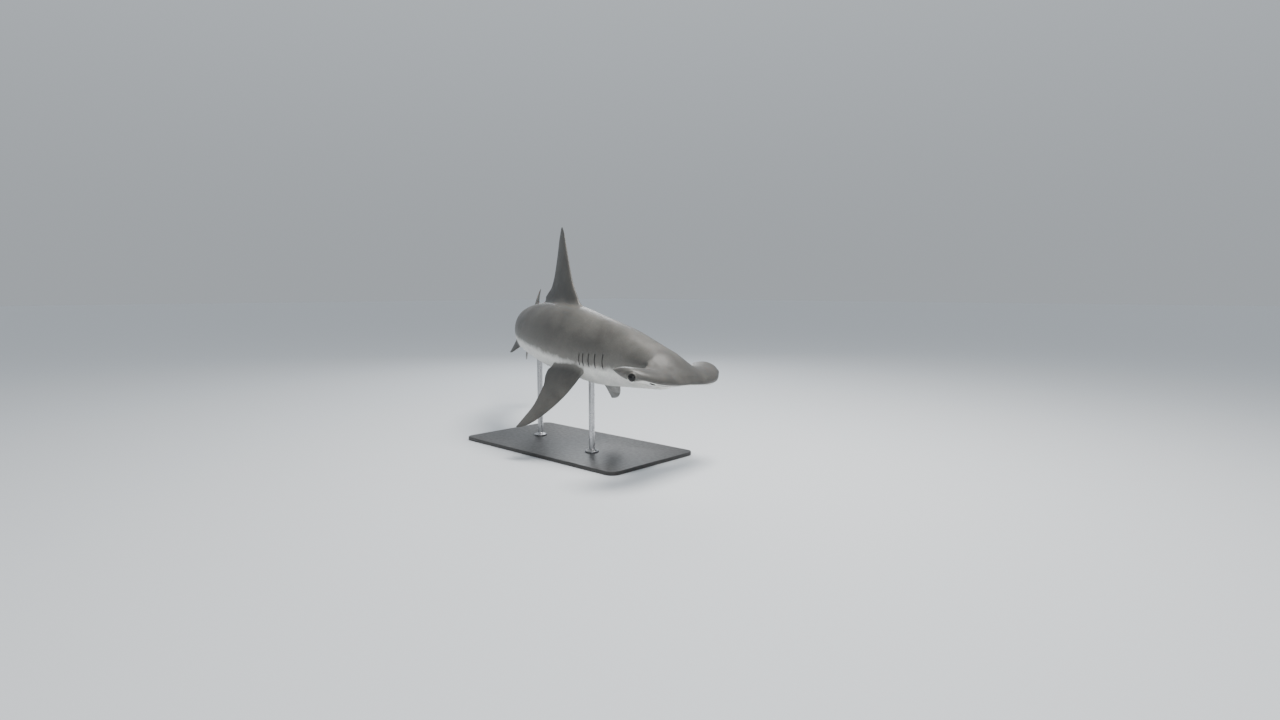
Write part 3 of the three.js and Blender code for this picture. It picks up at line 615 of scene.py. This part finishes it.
PELVIC_BASE = dict(s=0.49, y=0.020, z=-0.028, slope=0.10, back=-0.008, sweep=0)
PAIRED = {
    "pectoral_right": (-1, PECTORAL_BASE, (0.56, 0.83), PECTORAL),
    "pectoral_left": (1, {**PECTORAL_BASE, "back": 0.018, "sweep": 0.08}, (0.71, 0.70), PECTORAL),
    "pelvic_right": (-1, PELVIC_BASE, (0.43, 0.90), PELVIC),
    "pelvic_left": (1, PELVIC_BASE, (0.43, 0.90), PELVIC),
}


def paired_body(side, base, lean):
    size = math.hypot(*lean)
    out_y = side * lean[0] / size
    out_z = -lean[1] / size
    flat_y = -out_z * side
    flat_z = out_y * side

    def at(s, span, thick):
        y = side * base["y"] + out_y * span + flat_y * thick
        z = base["z"] + out_z * span + flat_z * thick + (s - base["s"]) * base["slope"]
        return s + base["back"] - base["sweep"] * span, y, z

    return at


def make_fins():
    made = [fin_mesh(name, to_body=upright, to_space=place, **shape) for name, shape in FINS.items()]
    for name, (side, base, lean, shape) in PAIRED.items():
        made.append(fin_mesh(name, to_body=paired_body(side, base, lean),
                             to_space=stiff_place(base["s"]), **shape))
    return made


# Eyes and their lids
def eye_frame(side):
    front, left, up = axes_at(np.array(EYE_AT[0]))
    out = side * left
    tilt = math.radians(EYE_TILT)
    axis = out * math.cos(tilt) + front * math.sin(tilt)
    ahead = front * math.cos(tilt) - out * math.sin(tilt)
    return place(EYE_AT[0], side * EYE_AT[1], EYE_AT[2]), axis, ahead, up


LID_SHADE = 0.45
LID_SIDES = 80
LID_STEP = 6
LID_FINE = (48, 72)
LID_FINE_STEP = 1.5


# A ball whose radius may change with the angle from its axis, given in degrees
def ball(name, centre, axis, front, up, angles, radii, sides, shade=None):
    e = np.radians(np.array(angles))[:, None, None]
    r = np.array(radii)[:, None, None]
    a = (2 * np.pi * np.arange(sides) / sides)[None, :, None]
    spoke = axis * np.cos(e) + np.sin(e) * (front * np.cos(a) + up * np.sin(a))
    marks = None
    if shade is not None:
        middle = np.array(EYE_AT) * MILLIMETRES
        marks = np.empty(spoke.shape[:2] + (MARKS,))
        marks[..., :3] = middle
        marks[..., 3] = shade + (spoke @ up)
        marks[..., 4] = 0
    rings = centre + r * spoke
    return loft(name, rings, centre + axis * radii[0], centre - axis * radii[-1], marks)


def lid(name, side):
    centre, axis, front, up = eye_frame(side)
    start, stop = LID_FINE
    angles = np.concatenate([np.arange(LID_STEP, start, LID_STEP),
                             np.arange(start, stop, LID_FINE_STEP),
                             np.arange(stop, 180, LID_STEP)])
    rise = curve([LID_OPENING + p[0] for p in LID_PROFILE], [p[1] for p in LID_PROFILE])
    radii = EYE_RADIUS + rise(angles)
    return ball(name, centre, axis, front, up, angles, radii, LID_SIDES, LID_SHADE)


# Joins the fins and lids to the body, then rounds the roots where they meet
def join(body, parts):
    before = [mesh_points(o.data) for o in [body, *parts]]
    for part in parts:
        step = body.modifiers.new("join", "BOOLEAN")
        step.operation = "UNION"
        step.solver = "MANIFOLD"
        step.object = part
        graph = bpy.context.evaluated_depsgraph_get()
        mesh = bpy.data.meshes.new_from_object(body.evaluated_get(graph))
        body.modifiers.remove(step)
        body.data = mesh
        bpy.data.objects.remove(part)
    return np.vstack(before)


def tree_of(points):
    tree = kdtree.KDTree(len(points))
    for i, p in enumerate(points):
        tree.insert(p, i)
    tree.balance()
    return tree


# Points moved less than this by a join are old ones; roots round over these reaches
SAME_POINT = 2e-6
ROOT_REACH = 0.045
LID_REACH = 0.0070
HEAD_LAST = 0.10
REAR_FROM = 0.45
REAR_PART = 0.6
ROOT_PASSES = 24
ROOT_PULL = 0.6


def seam_points(mesh, before):
    tree = tree_of(before)
    points = mesh_points(mesh)
    return np.array([p for p in points if tree.find(p)[2] > SAME_POINT])


def round_roots(mesh, seam):
    points = mesh_points(mesh)
    marks = read_marks(mesh)
    tree = tree_of(seam)
    away = np.array([tree.find(p)[2] for p in points])
    along = marks[:, 0] / MILLIMETRES
    reach = np.where(along > REAR_FROM, ROOT_REACH * REAR_PART, ROOT_REACH)
    limit = np.where(along < HEAD_LAST, LID_REACH, reach)
    weight = np.clip(1 - away / limit, 0, 1)[:, None]
    edges = np.empty(len(mesh.edges) * 2, int)
    mesh.edges.foreach_get("vertices", edges)
    a, b = edges.reshape(-1, 2).T
    count = np.bincount(np.concatenate([a, b]), minlength=len(points))[:, None]
    state = np.hstack([points, marks[:, 3:]])
    for _ in range(ROOT_PASSES):
        total = np.zeros_like(state)
        np.add.at(total, a, state[b])
        np.add.at(total, b, state[a])
        state += weight * ROOT_PULL * (total / count - state)
    mesh.vertices.foreach_set("co", state[:, :3].ravel())
    write_marks(mesh, np.hstack([marks[:, :3], state[:, 3:]]))
    mesh.update()


def set_attribute(mesh, name, values):
    layer = mesh.attributes.new(name, "FLOAT", "POINT")
    layer.data.foreach_set("value", np.asarray(values, np.float32))


def make_skin():
    body = make_body()
    parts = make_fins() + [lid("lid_right", -1), lid("lid_left", 1)]
    before = join(body, parts)
    seam = seam_points(body.data, before)
    round_roots(body.data, seam)
    body.data.polygons.foreach_set("use_smooth", [True] * len(body.data.polygons))
    return body


# Materials
def new_material(name):
    material = bpy.data.materials.new(name)
    material.use_nodes = True
    nodes = material.node_tree.nodes
    return material, nodes, material.node_tree.links, nodes["Principled BSDF"]


def attribute(nodes, name):
    node = nodes.new("ShaderNodeAttribute")
    node.attribute_name = name
    return node.outputs["Fac"]


def map_range(nodes, links, value, low, high, out_low=0.0, out_high=1.0, soft=True):
    node = nodes.new("ShaderNodeMapRange")
    node.interpolation_type = "SMOOTHSTEP" if soft else "LINEAR"
    node.inputs["From Min"].default_value = low
    node.inputs["From Max"].default_value = high
    node.inputs["To Min"].default_value = out_low
    node.inputs["To Max"].default_value = out_high
    links.new(value, node.inputs["Value"])
    return node.outputs["Result"]


def math_node(nodes, links, operation, a, b):
    node = nodes.new("ShaderNodeMath")
    node.operation = operation
    for socket, value in zip(node.inputs, (a, b)):
        if isinstance(value, (int, float)):
            socket.default_value = value
        else:
            links.new(value, socket)
    return node.outputs["Value"]


def noise(nodes, links, scale, detail, roughness=0.55, stretch=None):
    coords = nodes.new("ShaderNodeTexCoord")
    node = nodes.new("ShaderNodeTexNoise")
    node.inputs["Scale"].default_value = scale
    node.inputs["Detail"].default_value = detail
    node.inputs["Roughness"].default_value = roughness
    if stretch:
        mapping = nodes.new("ShaderNodeMapping")
        mapping.inputs["Scale"].default_value = stretch
        links.new(coords.outputs["Object"], mapping.inputs["Vector"])
        links.new(mapping.outputs["Vector"], node.inputs["Vector"])
    else:
        links.new(coords.outputs["Object"], node.inputs["Vector"])
    return node.outputs["Fac"]


def mix_colour(nodes, links, factor, a, b):
    node = nodes.new("ShaderNodeMix")
    node.data_type = "RGBA"
    if isinstance(factor, float):
        node.inputs[0].default_value = factor
    else:
        links.new(factor, node.inputs[0])
    for socket, value in ((node.inputs[6], a), (node.inputs[7], b)):
        if isinstance(value, tuple):
            socket.default_value = value
        else:
            links.new(value, socket)
    return node.outputs[2]


def new_group(name, inputs, outputs):
    group = bpy.data.node_groups.new(name, "ShaderNodeTree")
    for socket in inputs:
        group.interface.new_socket(name=socket, in_out="INPUT", socket_type="NodeSocketFloat")
    for socket in outputs:
        group.interface.new_socket(name=socket, in_out="OUTPUT", socket_type="NodeSocketFloat")
    entry = group.nodes.new("NodeGroupInput")
    leave = group.nodes.new("NodeGroupOutput")
    return group, group.nodes, group.links, entry.outputs, leave.inputs


def place_group(nodes, links, group, values):
    node = nodes.new("ShaderNodeGroup")
    node.node_tree = group
    for name, value in values.items():
        if isinstance(value, (int, float)):
            node.inputs[name].default_value = value
        else:
            links.new(value, node.inputs[name])
    return node.outputs


def arithmetic(nodes, links):
    def work(operation, a, b=0.0):
        return math_node(nodes, links, operation, a, b)

    return work


# One gill slit: a dark curved line, painted shade in the slit's opening, and the skin sinking behind it
def slit_group():
    group, nodes, links, given, result = new_group(
        "gill_slit", ("Along", "Height", "Station", "Middle", "Half"), ("Opening_Shade", "Relief"))
    work = arithmetic(nodes, links)
    up = work("DIVIDE", work("SUBTRACT", given["Height"], given["Middle"]), given["Half"])
    bow = work("MULTIPLY", work("SUBTRACT", 0.5, work("MULTIPLY", up, up)), GILL_BOW * MILLIMETRES)
    away = work("SUBTRACT", work("SUBTRACT", given["Along"], given["Station"]), bow)
    ends = map_range(nodes, links, work("ABSOLUTE", up), 1.0, 0.74)
    line = map_range(nodes, links, work("ABSOLUTE", work("SUBTRACT", away, 1.6)), 5.4, 2.4)
    sunk = map_range(nodes, links, work("ABSOLUTE", work("SUBTRACT", away, 5)), 9, 0)
    links.new(work("MULTIPLY", line, ends), result["Opening_Shade"])
    links.new(work("MULTIPLY", work("MAXIMUM", line, work("MULTIPLY", sunk, 0.5)), ends),
              result["Relief"])
    return group


# Painted shade of the five slit openings, and the relief that sinks them
def slit_shade_marks(nodes, links, along, height):
    work = arithmetic(nodes, links)
    group = slit_group()
    dark = relief = 0.0
    for i, slit in enumerate(GILL_SLITS):
        made = place_group(nodes, links, group, {
            "Along": along, "Height": height, "Station": slit * MILLIMETRES,
            "Middle": (GILL_MIDDLE[0] + GILL_MIDDLE[1] * i) * MILLIMETRES,
            "Half": (GILL_HALF[0] + GILL_HALF[1] * i) * 1000})
        dark = work("MAXIMUM", dark, made["Opening_Shade"])
        relief = work("MAXIMUM", relief, made["Relief"])
    return dark, relief


# A dark line along the closed mouth: painted shade in the crease between the jaws
def mouth_shade_mark(nodes, links, along, side, height):
    work = arithmetic(nodes, links)
    reach = work("DIVIDE", work("ABSOLUTE", side), MOUTH_CORNER[1] * MILLIMETRES)
    back = work("MULTIPLY", work("MULTIPLY", reach, reach), (MOUTH_CORNER[0] - MOUTH_FRONT) * MILLIMETRES)
    away = work("SUBTRACT", work("SUBTRACT", along, back), MOUTH_FRONT * MILLIMETRES)
    line = map_range(nodes, links, work("ABSOLUTE", away), 7.5, 3.0)
    below = map_range(nodes, links, height, -20, -40)
    ends = map_range(nodes, links, reach, 1.04, 0.94)
    return work("MULTIPLY", work("MULTIPLY", line, ends), below)


# Dark nostril holes: painted shade in the openings
def nostril_shade_mark(nodes, links, along, side, height):
    work = arithmetic(nodes, links)
    out = work("SUBTRACT", work("ABSOLUTE", side), NOSTRIL_AT[0] * MILLIMETRES)
    slope = work("MULTIPLY", out, NOSTRIL_SLANT)
    across = work("SUBTRACT", work("SUBTRACT", height, NOSTRIL_AT[1] * MILLIMETRES), slope)
    taper = work("MULTIPLY", work("MULTIPLY", out, out), 0.0058)
    line = map_range(nodes, links, work("ADD", work("ABSOLUTE", across), taper), 5.0, 2.8)
    ends = map_range(nodes, links, work("ABSOLUTE", out), 26, 20)
    near = map_range(nodes, links, along, 0.028 * MILLIMETRES, 0.022 * MILLIMETRES)
    hole_shade = work("MULTIPLY", work("MULTIPLY", line, ends), near)
    # Painted shade: a dark line along the front edge towards the middle, below the lit top of the edge
    edge = map_range(nodes, links, work("ABSOLUTE", work("ADD", height, 8)), 4.5, 1.0, 0, 0.55)
    inner = work("MULTIPLY", map_range(nodes, links, out, -8, -24),
                 map_range(nodes, links, work("ABSOLUTE", side), 0.020 * MILLIMETRES, 0.035 * MILLIMETRES))
    return work("MAXIMUM", hole_shade, work("MULTIPLY", work("MULTIPLY", edge, inner), near))


# Small dark pores, thickest round the snout and under the head
def pore_mark(nodes, links, along, shade, fin):
    work = arithmetic(nodes, links)
    coords = nodes.new("ShaderNodeTexCoord")
    cells = nodes.new("ShaderNodeTexVoronoi")
    cells.inputs["Scale"].default_value = PORE_SCALE
    links.new(coords.outputs["Object"], cells.inputs["Vector"])
    dots = map_range(nodes, links, cells.outputs["Distance"], 0.15, 0.08)
    head = map_range(nodes, links, along, 0.075 * MILLIMETRES, 0.03 * MILLIMETRES)
    under = map_range(nodes, links, shade, 0.5, -0.1, 0.25, 1.0)
    body = work("SUBTRACT", 1.0, fin)
    return work("MULTIPLY", work("MULTIPLY", dots, head), work("MULTIPLY", under, body))


# Pattern sizes: how many features fit in about a metre
CLOUD_SCALE = 2.6
BLOTCH_SCALE = 13
WRINKLE_SCALE = 26
PATCH_SCALE = 34
SPECK_SCALE = 110
IRIS_SCALE = 420
SKIN_TEETH_SCALE = 650
PORE_SCALE = 85

# Colours
BACK_GREY = (0.100, 0.095, 0.085, 1)
BACK_DEEP = (0.058, 0.055, 0.050, 1)
FLANK_GREY = (0.160, 0.152, 0.136, 1)
BELLY_WHITE = (0.72, 0.71, 0.67, 1)
# Painted shade of the slits, mouth, nostrils and front edge, and the pores' own dark
SHADE_AND_PORE_DARK = (0.012, 0.010, 0.010, 1)
PUPIL_BLACK = (0.002, 0.002, 0.003, 1)
IRIS_DARK = (0.004, 0.0036, 0.003, 1)
IRIS_BROWN = (0.010, 0.009, 0.007, 1)
EYE_EDGE = (0.006, 0.006, 0.007, 1)

# Uneven border between grey and pale, its half width, and how much each pattern changes the tone
BORDER_WANDER = 0.34
BORDER_RAGGED = 0.16
BORDER_HALF = 0.13
FLANK_TOP = 0.85
MOTTLE = (0.88, 1.12)
FLECK = (0.93, 1.07)
# All fins a little darker: partly their own dusky tone, partly painted shade
FIN_DUSK_AND_SHADE = 0.82
PORE_DARK = 0.55
SKIN_GLOSS = (0.36, 0.50)

# Angles from the eye's axis, in radians, where the pupil and the iris end
PUPIL_END = (0.36, 0.44)
IRIS_END = (0.74, 0.90)


def skin_colour(nodes, links, shade, fin, blotch):
    work = arithmetic(nodes, links)
    cloud = noise(nodes, links, CLOUD_SCALE, 5)
    speck = noise(nodes, links, SPECK_SCALE, 4, 0.65)
    patch = noise(nodes, links, PATCH_SCALE, 5, 0.6)
    wander = work("MULTIPLY", work("SUBTRACT", blotch, 0.5), BORDER_WANDER)
    ragged = work("MULTIPLY", work("SUBTRACT", patch, 0.5), BORDER_RAGGED)
    level = work("ADD", work("ADD", shade, wander), ragged)
    clouded = map_range(nodes, links, cloud, 0.35, 0.65)
    back = mix_colour(nodes, links, clouded, BACK_DEEP, BACK_GREY)
    risen = map_range(nodes, links, level, 0.0, FLANK_TOP)
    upper = mix_colour(nodes, links, risen, FLANK_GREY, back)
    border = map_range(nodes, links, level, -BORDER_HALF, BORDER_HALF)
    colour = mix_colour(nodes, links, border, BELLY_WHITE, upper)
    mottle = map_range(nodes, links, blotch, 0.3, 0.7, *MOTTLE)
    fleck = map_range(nodes, links, speck, 0.32, 0.68, *FLECK)
    fin_dusk_and_shade = map_range(nodes, links, fin, 0, 1, 1.0, FIN_DUSK_AND_SHADE)
    tone = nodes.new("ShaderNodeVectorMath")
    tone.operation = "SCALE"
    links.new(colour, tone.inputs[0])
    links.new(work("MULTIPLY", work("MULTIPLY", mottle, fleck), fin_dusk_and_shade), tone.inputs["Scale"])
    return tone.outputs[0]


def bump(nodes, links, height, strength, distance, normal=None):
    node = nodes.new("ShaderNodeBump")
    node.inputs["Strength"].default_value = strength
    node.inputs["Distance"].default_value = distance
    links.new(height, node.inputs["Height"])
    if normal:
        links.new(normal, node.inputs["Normal"])
    return node.outputs["Normal"]


def skin_material():
    material, nodes, links, shader = new_material("shark_skin")
    work = arithmetic(nodes, links)
    where = nodes.new("ShaderNodeAttribute")
    where.attribute_name = "place"
    split = nodes.new("ShaderNodeSeparateXYZ")
    links.new(where.outputs["Vector"], split.inputs[0])
    along, side, height = split.outputs
    shade = attribute(nodes, "shade")
    fin = attribute(nodes, "fin")
    body = map_range(nodes, links, fin, 0.12, 0.0)
    blotch = noise(nodes, links, BLOTCH_SCALE, 6, 0.6)
    slit_shade, sunk = slit_shade_marks(nodes, links, along, height)
    mouth_shade = mouth_shade_mark(nodes, links, along, side, height)
    nostril_shade = nostril_shade_mark(nodes, links, along, side, height)
    pores = pore_mark(nodes, links, along, shade, fin)
    # Painted shade of the openings and of the front edge, with the pores' own dark spots
    shade_lines = work("MAXIMUM", slit_shade, work("MAXIMUM", mouth_shade, nostril_shade))
    dark = work("MAXIMUM", work("MULTIPLY", shade_lines, body), work("MULTIPLY", pores, PORE_DARK))
    colour = skin_colour(nodes, links, shade, fin, blotch)
    links.new(mix_colour(nodes, links, dark, colour, SHADE_AND_PORE_DARK), shader.inputs["Base Color"])
    links.new(map_range(nodes, links, blotch, 0.3, 0.7, *SKIN_GLOSS), shader.inputs["Roughness"])
    shader.inputs["Specular IOR Level"].default_value = 0.5
    shader.inputs["Subsurface Weight"].default_value = 0.03
    shader.inputs["Subsurface Scale"].default_value = 0.008
    # Skin teeth, faint wrinkles and the sunk lines
    fine = bump(nodes, links, noise(nodes, links, SKIN_TEETH_SCALE, 2, 0.5), 0.28, 0.0005)
    wrinkles = bump(nodes, links, noise(nodes, links, WRINKLE_SCALE, 4, 0.5), 0.12, 0.003, fine)
    hollow = work("MULTIPLY", work("MULTIPLY", work("MAXIMUM", sunk, shade_lines), body), -1.0)
    links.new(bump(nodes, links, hollow, 0.9, 0.006, wrinkles), shader.inputs["Normal"])
    return material


def eye_material():
    material, nodes, links, shader = new_material("shark_eye")
    ring = attribute(nodes, "ring")
    grain = noise(nodes, links, IRIS_SCALE, 3, 0.6)
    iris = mix_colour(nodes, links, grain, IRIS_DARK, IRIS_BROWN)
    inner = mix_colour(nodes, links, map_range(nodes, links, ring, *PUPIL_END), PUPIL_BLACK, iris)
    rim = mix_colour(nodes, links, map_range(nodes, links, ring, *IRIS_END), inner, EYE_EDGE)
    links.new(rim, shader.inputs["Base Color"])
    shader.inputs["Roughness"].default_value = 0.08
    shader.inputs["Specular IOR Level"].default_value = 0.30
    shader.inputs["Coat Weight"].default_value = 0.15
    shader.inputs["Coat Roughness"].default_value = 0.02
    return material


# Fine grain that varies the gloss of the stand and the floor
GRAIN_SCALE = 40
GRAIN_GLOSS = 0.05


def grain_group():
    group, nodes, links, given, result = new_group("grain", (), ("Grain",))
    grain = noise(nodes, links, GRAIN_SCALE, 3)
    links.new(map_range(nodes, links, grain, 0.3, 0.7), result["Grain"])
    return group


def plain_material(name, colour, roughness, metallic):
    material, nodes, links, shader = new_material(name)
    shader.inputs["Base Color"].default_value = colour
    shader.inputs["Metallic"].default_value = metallic
    group = bpy.data.node_groups.get("grain") or grain_group()
    grain = place_group(nodes, links, group, {})["Grain"]
    gloss = map_range(nodes, links, grain, 0, 1, roughness - GRAIN_GLOSS, roughness + GRAIN_GLOSS, False)
    links.new(gloss, shader.inputs["Roughness"])
    return material


def make_eye(name, side):
    centre, axis, front, up = eye_frame(side)
    angles = np.linspace(0, 180, 44)[1:-1]
    radii = np.full(len(angles), EYE_RADIUS - 0.0003)
    obj = ball(name, centre, axis, front, up, angles, radii, 56)
    points = mesh_points(obj.data) - centre
    ring = np.arccos(np.clip(points @ axis / np.linalg.norm(points, axis=1), -1, 1))
    set_attribute(obj.data, "ring", ring)
    obj.data.polygons.foreach_set("use_smooth", [True] * len(obj.data.polygons))
    return obj


# Stand, from the sizes of its solids
BASE_CORNER = 0.06
BASE_DARK = (0.030, 0.028, 0.026, 1)
ROD_GREY = (0.48, 0.48, 0.49, 1)
BASE_BEVEL = 0.004
ROD_RADIUS = 0.019
RODS = {"rod_front": ("stand_rod_front", 0.245, 0.004), "rod_rear": ("stand_rod_rear", 0.445, 0)}


BASE_FOOT = 0.002
BEVEL_STEPS = 6
CORNER_STEPS = 12
ROD_SIDES = 64
ROD_INTO_BODY = 0.001
ROD_FLANGE = ((0, 0.044), (0.002, 0.046), (0.0085, 0.046), (0.010, 0.0445), (0.013, 0.036),
              (0.016, 0.030), (0.019, 0.0235), (0.022, 0.0195), (0.030, ROD_RADIUS))


def make_base():
    low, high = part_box("stand_base")
    half_x = (high[0] - low[0]) / 2
    half_y = (high[1] - low[1]) / 2
    levels = [(low[2], BASE_FOOT), (low[2] + BASE_FOOT, 0)]
    for i in range(BEVEL_STEPS + 1):
        a = math.pi / 2 * i / BEVEL_STEPS
        levels.append((high[2] - BASE_BEVEL * (1 - math.sin(a)), BASE_BEVEL * (1 - math.cos(a))))
    rings = []
    for z, inset in levels:
        ring = []
        for quarter in range(4):
            cx = (1 if quarter in (0, 3) else -1) * (half_x - BASE_CORNER)
            cy = (1 if quarter < 2 else -1) * (half_y - BASE_CORNER)
            for k in range(CORNER_STEPS + 1):
                a = (quarter + k / CORNER_STEPS) * math.pi / 2
                r = BASE_CORNER - inset
                ring.append((cx + r * math.cos(a), cy + r * math.sin(a), z))
        rings.append(ring)
    return loft("display_base", np.array(rings), np.array((0, 0, low[2])), np.array((0, 0, high[2])))


def make_rod(name, node, s, y):
    low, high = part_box(node)
    foot = place(s, y, 0)
    rise = low[2]
    profile = [(rise + up, radius) for up, radius in ROD_FLANGE]
    profile.append((high[2] - ROD_INTO_BODY, ROD_RADIUS))
    angle = 2 * np.pi * np.arange(ROD_SIDES) / ROD_SIDES
    rings = [np.stack([foot[0] + r * np.cos(angle), foot[1] + r * np.sin(angle),
                       np.full(ROD_SIDES, z)], 1) for z, r in profile]
    return loft(name, np.array(rings), np.array((foot[0], foot[1], rise)),
                np.array((foot[0], foot[1], profile[-1][0])))


def shade_by_angle(obj, degrees):
    obj.data.polygons.foreach_set("use_smooth", [True] * len(obj.data.polygons))
    obj.data.set_sharp_from_angle(angle=math.radians(degrees))


# Everything of the object
skin = make_skin()
skin.data.materials.clear()
skin.data.materials.append(skin_material())
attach(skin, "root")
FLESH = [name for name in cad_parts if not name.startswith(("stand", "eye"))]
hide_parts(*FLESH)

eye_look = eye_material()
for eye_name, eye_side in (("eye_right", -1), ("eye_left", 1)):
    eye = make_eye("shark_" + eye_name, eye_side)
    eye.data.materials.append(eye_look)
    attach(eye, "root")
    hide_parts(eye_name)

base = make_base()
base.data.materials.append(plain_material("base_wood", BASE_DARK, 0.42, 0))
shade_by_angle(base, 40)
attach(base, "root")
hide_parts("stand_base")

rod_look = plain_material("rod_steel", ROD_GREY, 0.30, 1)
for rod_name, (rod_node, rod_s, rod_y) in RODS.items():
    rod = make_rod(rod_name, rod_node, rod_s, rod_y)
    rod.data.materials.append(rod_look)
    shade_by_angle(rod, 40)
    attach(rod, "root")
    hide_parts(rod_node)


# Studio
HORIZON_COLOUR = (0.535, 0.575, 0.615, 1)
ZENITH_COLOUR = (0.86, 0.92, 0.98, 1)
WORLD_STRENGTH = 0.75
FLOOR_HALF = 60
FLOOR_PALE = (0.64, 0.66, 0.68, 1)

# Lights: place, target, width, power and colour
LIGHTS = {
    "key_above": ((1.8, 0.5, 5.2), (0.4, -0.1, 0.8), 2.2, 420, (1, 0.98, 0.95)),
    "front_fill": ((4.6, -3.8, 1.8), (0.5, -0.1, 0.8), 2.6, 60, (0.94, 0.97, 1)),
    "rear_rim": ((-3.6, 3.4, 3.6), (-0.2, 0.3, 0.9), 2.4, 110, (0.92, 0.96, 1)),
}


def make_floor():
    half = FLOOR_HALF
    corners = [(-half, -half, 0), (half, -half, 0), (half, half, 0), (-half, half, 0)]
    floor = mesh_object("floor", corners, [(0, 1, 2, 3)])
    floor.data.materials.append(plain_material("floor_pale", FLOOR_PALE, 0.8, 0))


def area_light(name, where, target, size, power, colour):
    data = bpy.data.lights.new(name, "AREA")
    data.shape = "DISK"
    data.size = size
    data.energy = power
    data.color = colour
    light = bpy.data.objects.new(name, data)
    light.location = where
    light.rotation_euler = (Vector(target) - Vector(where)).to_track_quat("-Z", "Y").to_euler()
    bpy.context.scene.collection.objects.link(light)


# Soft light from all round: at the horizon as bright as the far floor, so no line shows
def make_world():
    world = bpy.data.worlds.new("studio")
    world.use_nodes = True
    nodes = world.node_tree.nodes
    links = world.node_tree.links
    split = nodes.new("ShaderNodeSeparateXYZ")
    links.new(nodes.new("ShaderNodeTexCoord").outputs["Generated"], split.inputs[0])
    rise = map_range(nodes, links, split.outputs["Z"], 0.0, 0.75)
    colour = mix_colour(nodes, links, rise, HORIZON_COLOUR, ZENITH_COLOUR)
    links.new(colour, nodes["Background"].inputs["Color"])
    nodes["Background"].inputs["Strength"].default_value = WORLD_STRENGTH
    bpy.context.scene.world = world


def make_camera():
    az = math.radians(CAMERA_HEADING)
    down = math.radians(CAMERA_DOWN)
    back = Vector((math.sin(az) * math.cos(down), -math.cos(az) * math.cos(down), math.sin(down)))
    right = Vector((0, 0, 1)).cross(back).normalized()
    up = back.cross(right)
    centre = Vector(TRUNK_PLACE) + (back * CAMERA_DISTANCE + right * CAMERA_SHIFT[0]
                                    + up * CAMERA_SHIFT[1]) * TOTAL_LENGTH
    data = bpy.data.cameras.new("photo_camera")
    data.sensor_width = SENSOR_WIDTH
    data.lens = SENSOR_WIDTH * PHOTO_FOCAL_PX / PHOTO_WIDTH_PX
    data.clip_end = 200
    camera = bpy.data.objects.new("photo_camera", data)
    camera.matrix_world = Matrix.Translation(centre) @ Matrix((right, up, back)).transposed().to_4x4()
    bpy.context.scene.collection.objects.link(camera)
    bpy.context.scene.camera = camera


make_floor()
make_world()
for light_name, settings in LIGHTS.items():
    area_light(light_name, *settings)
make_camera()
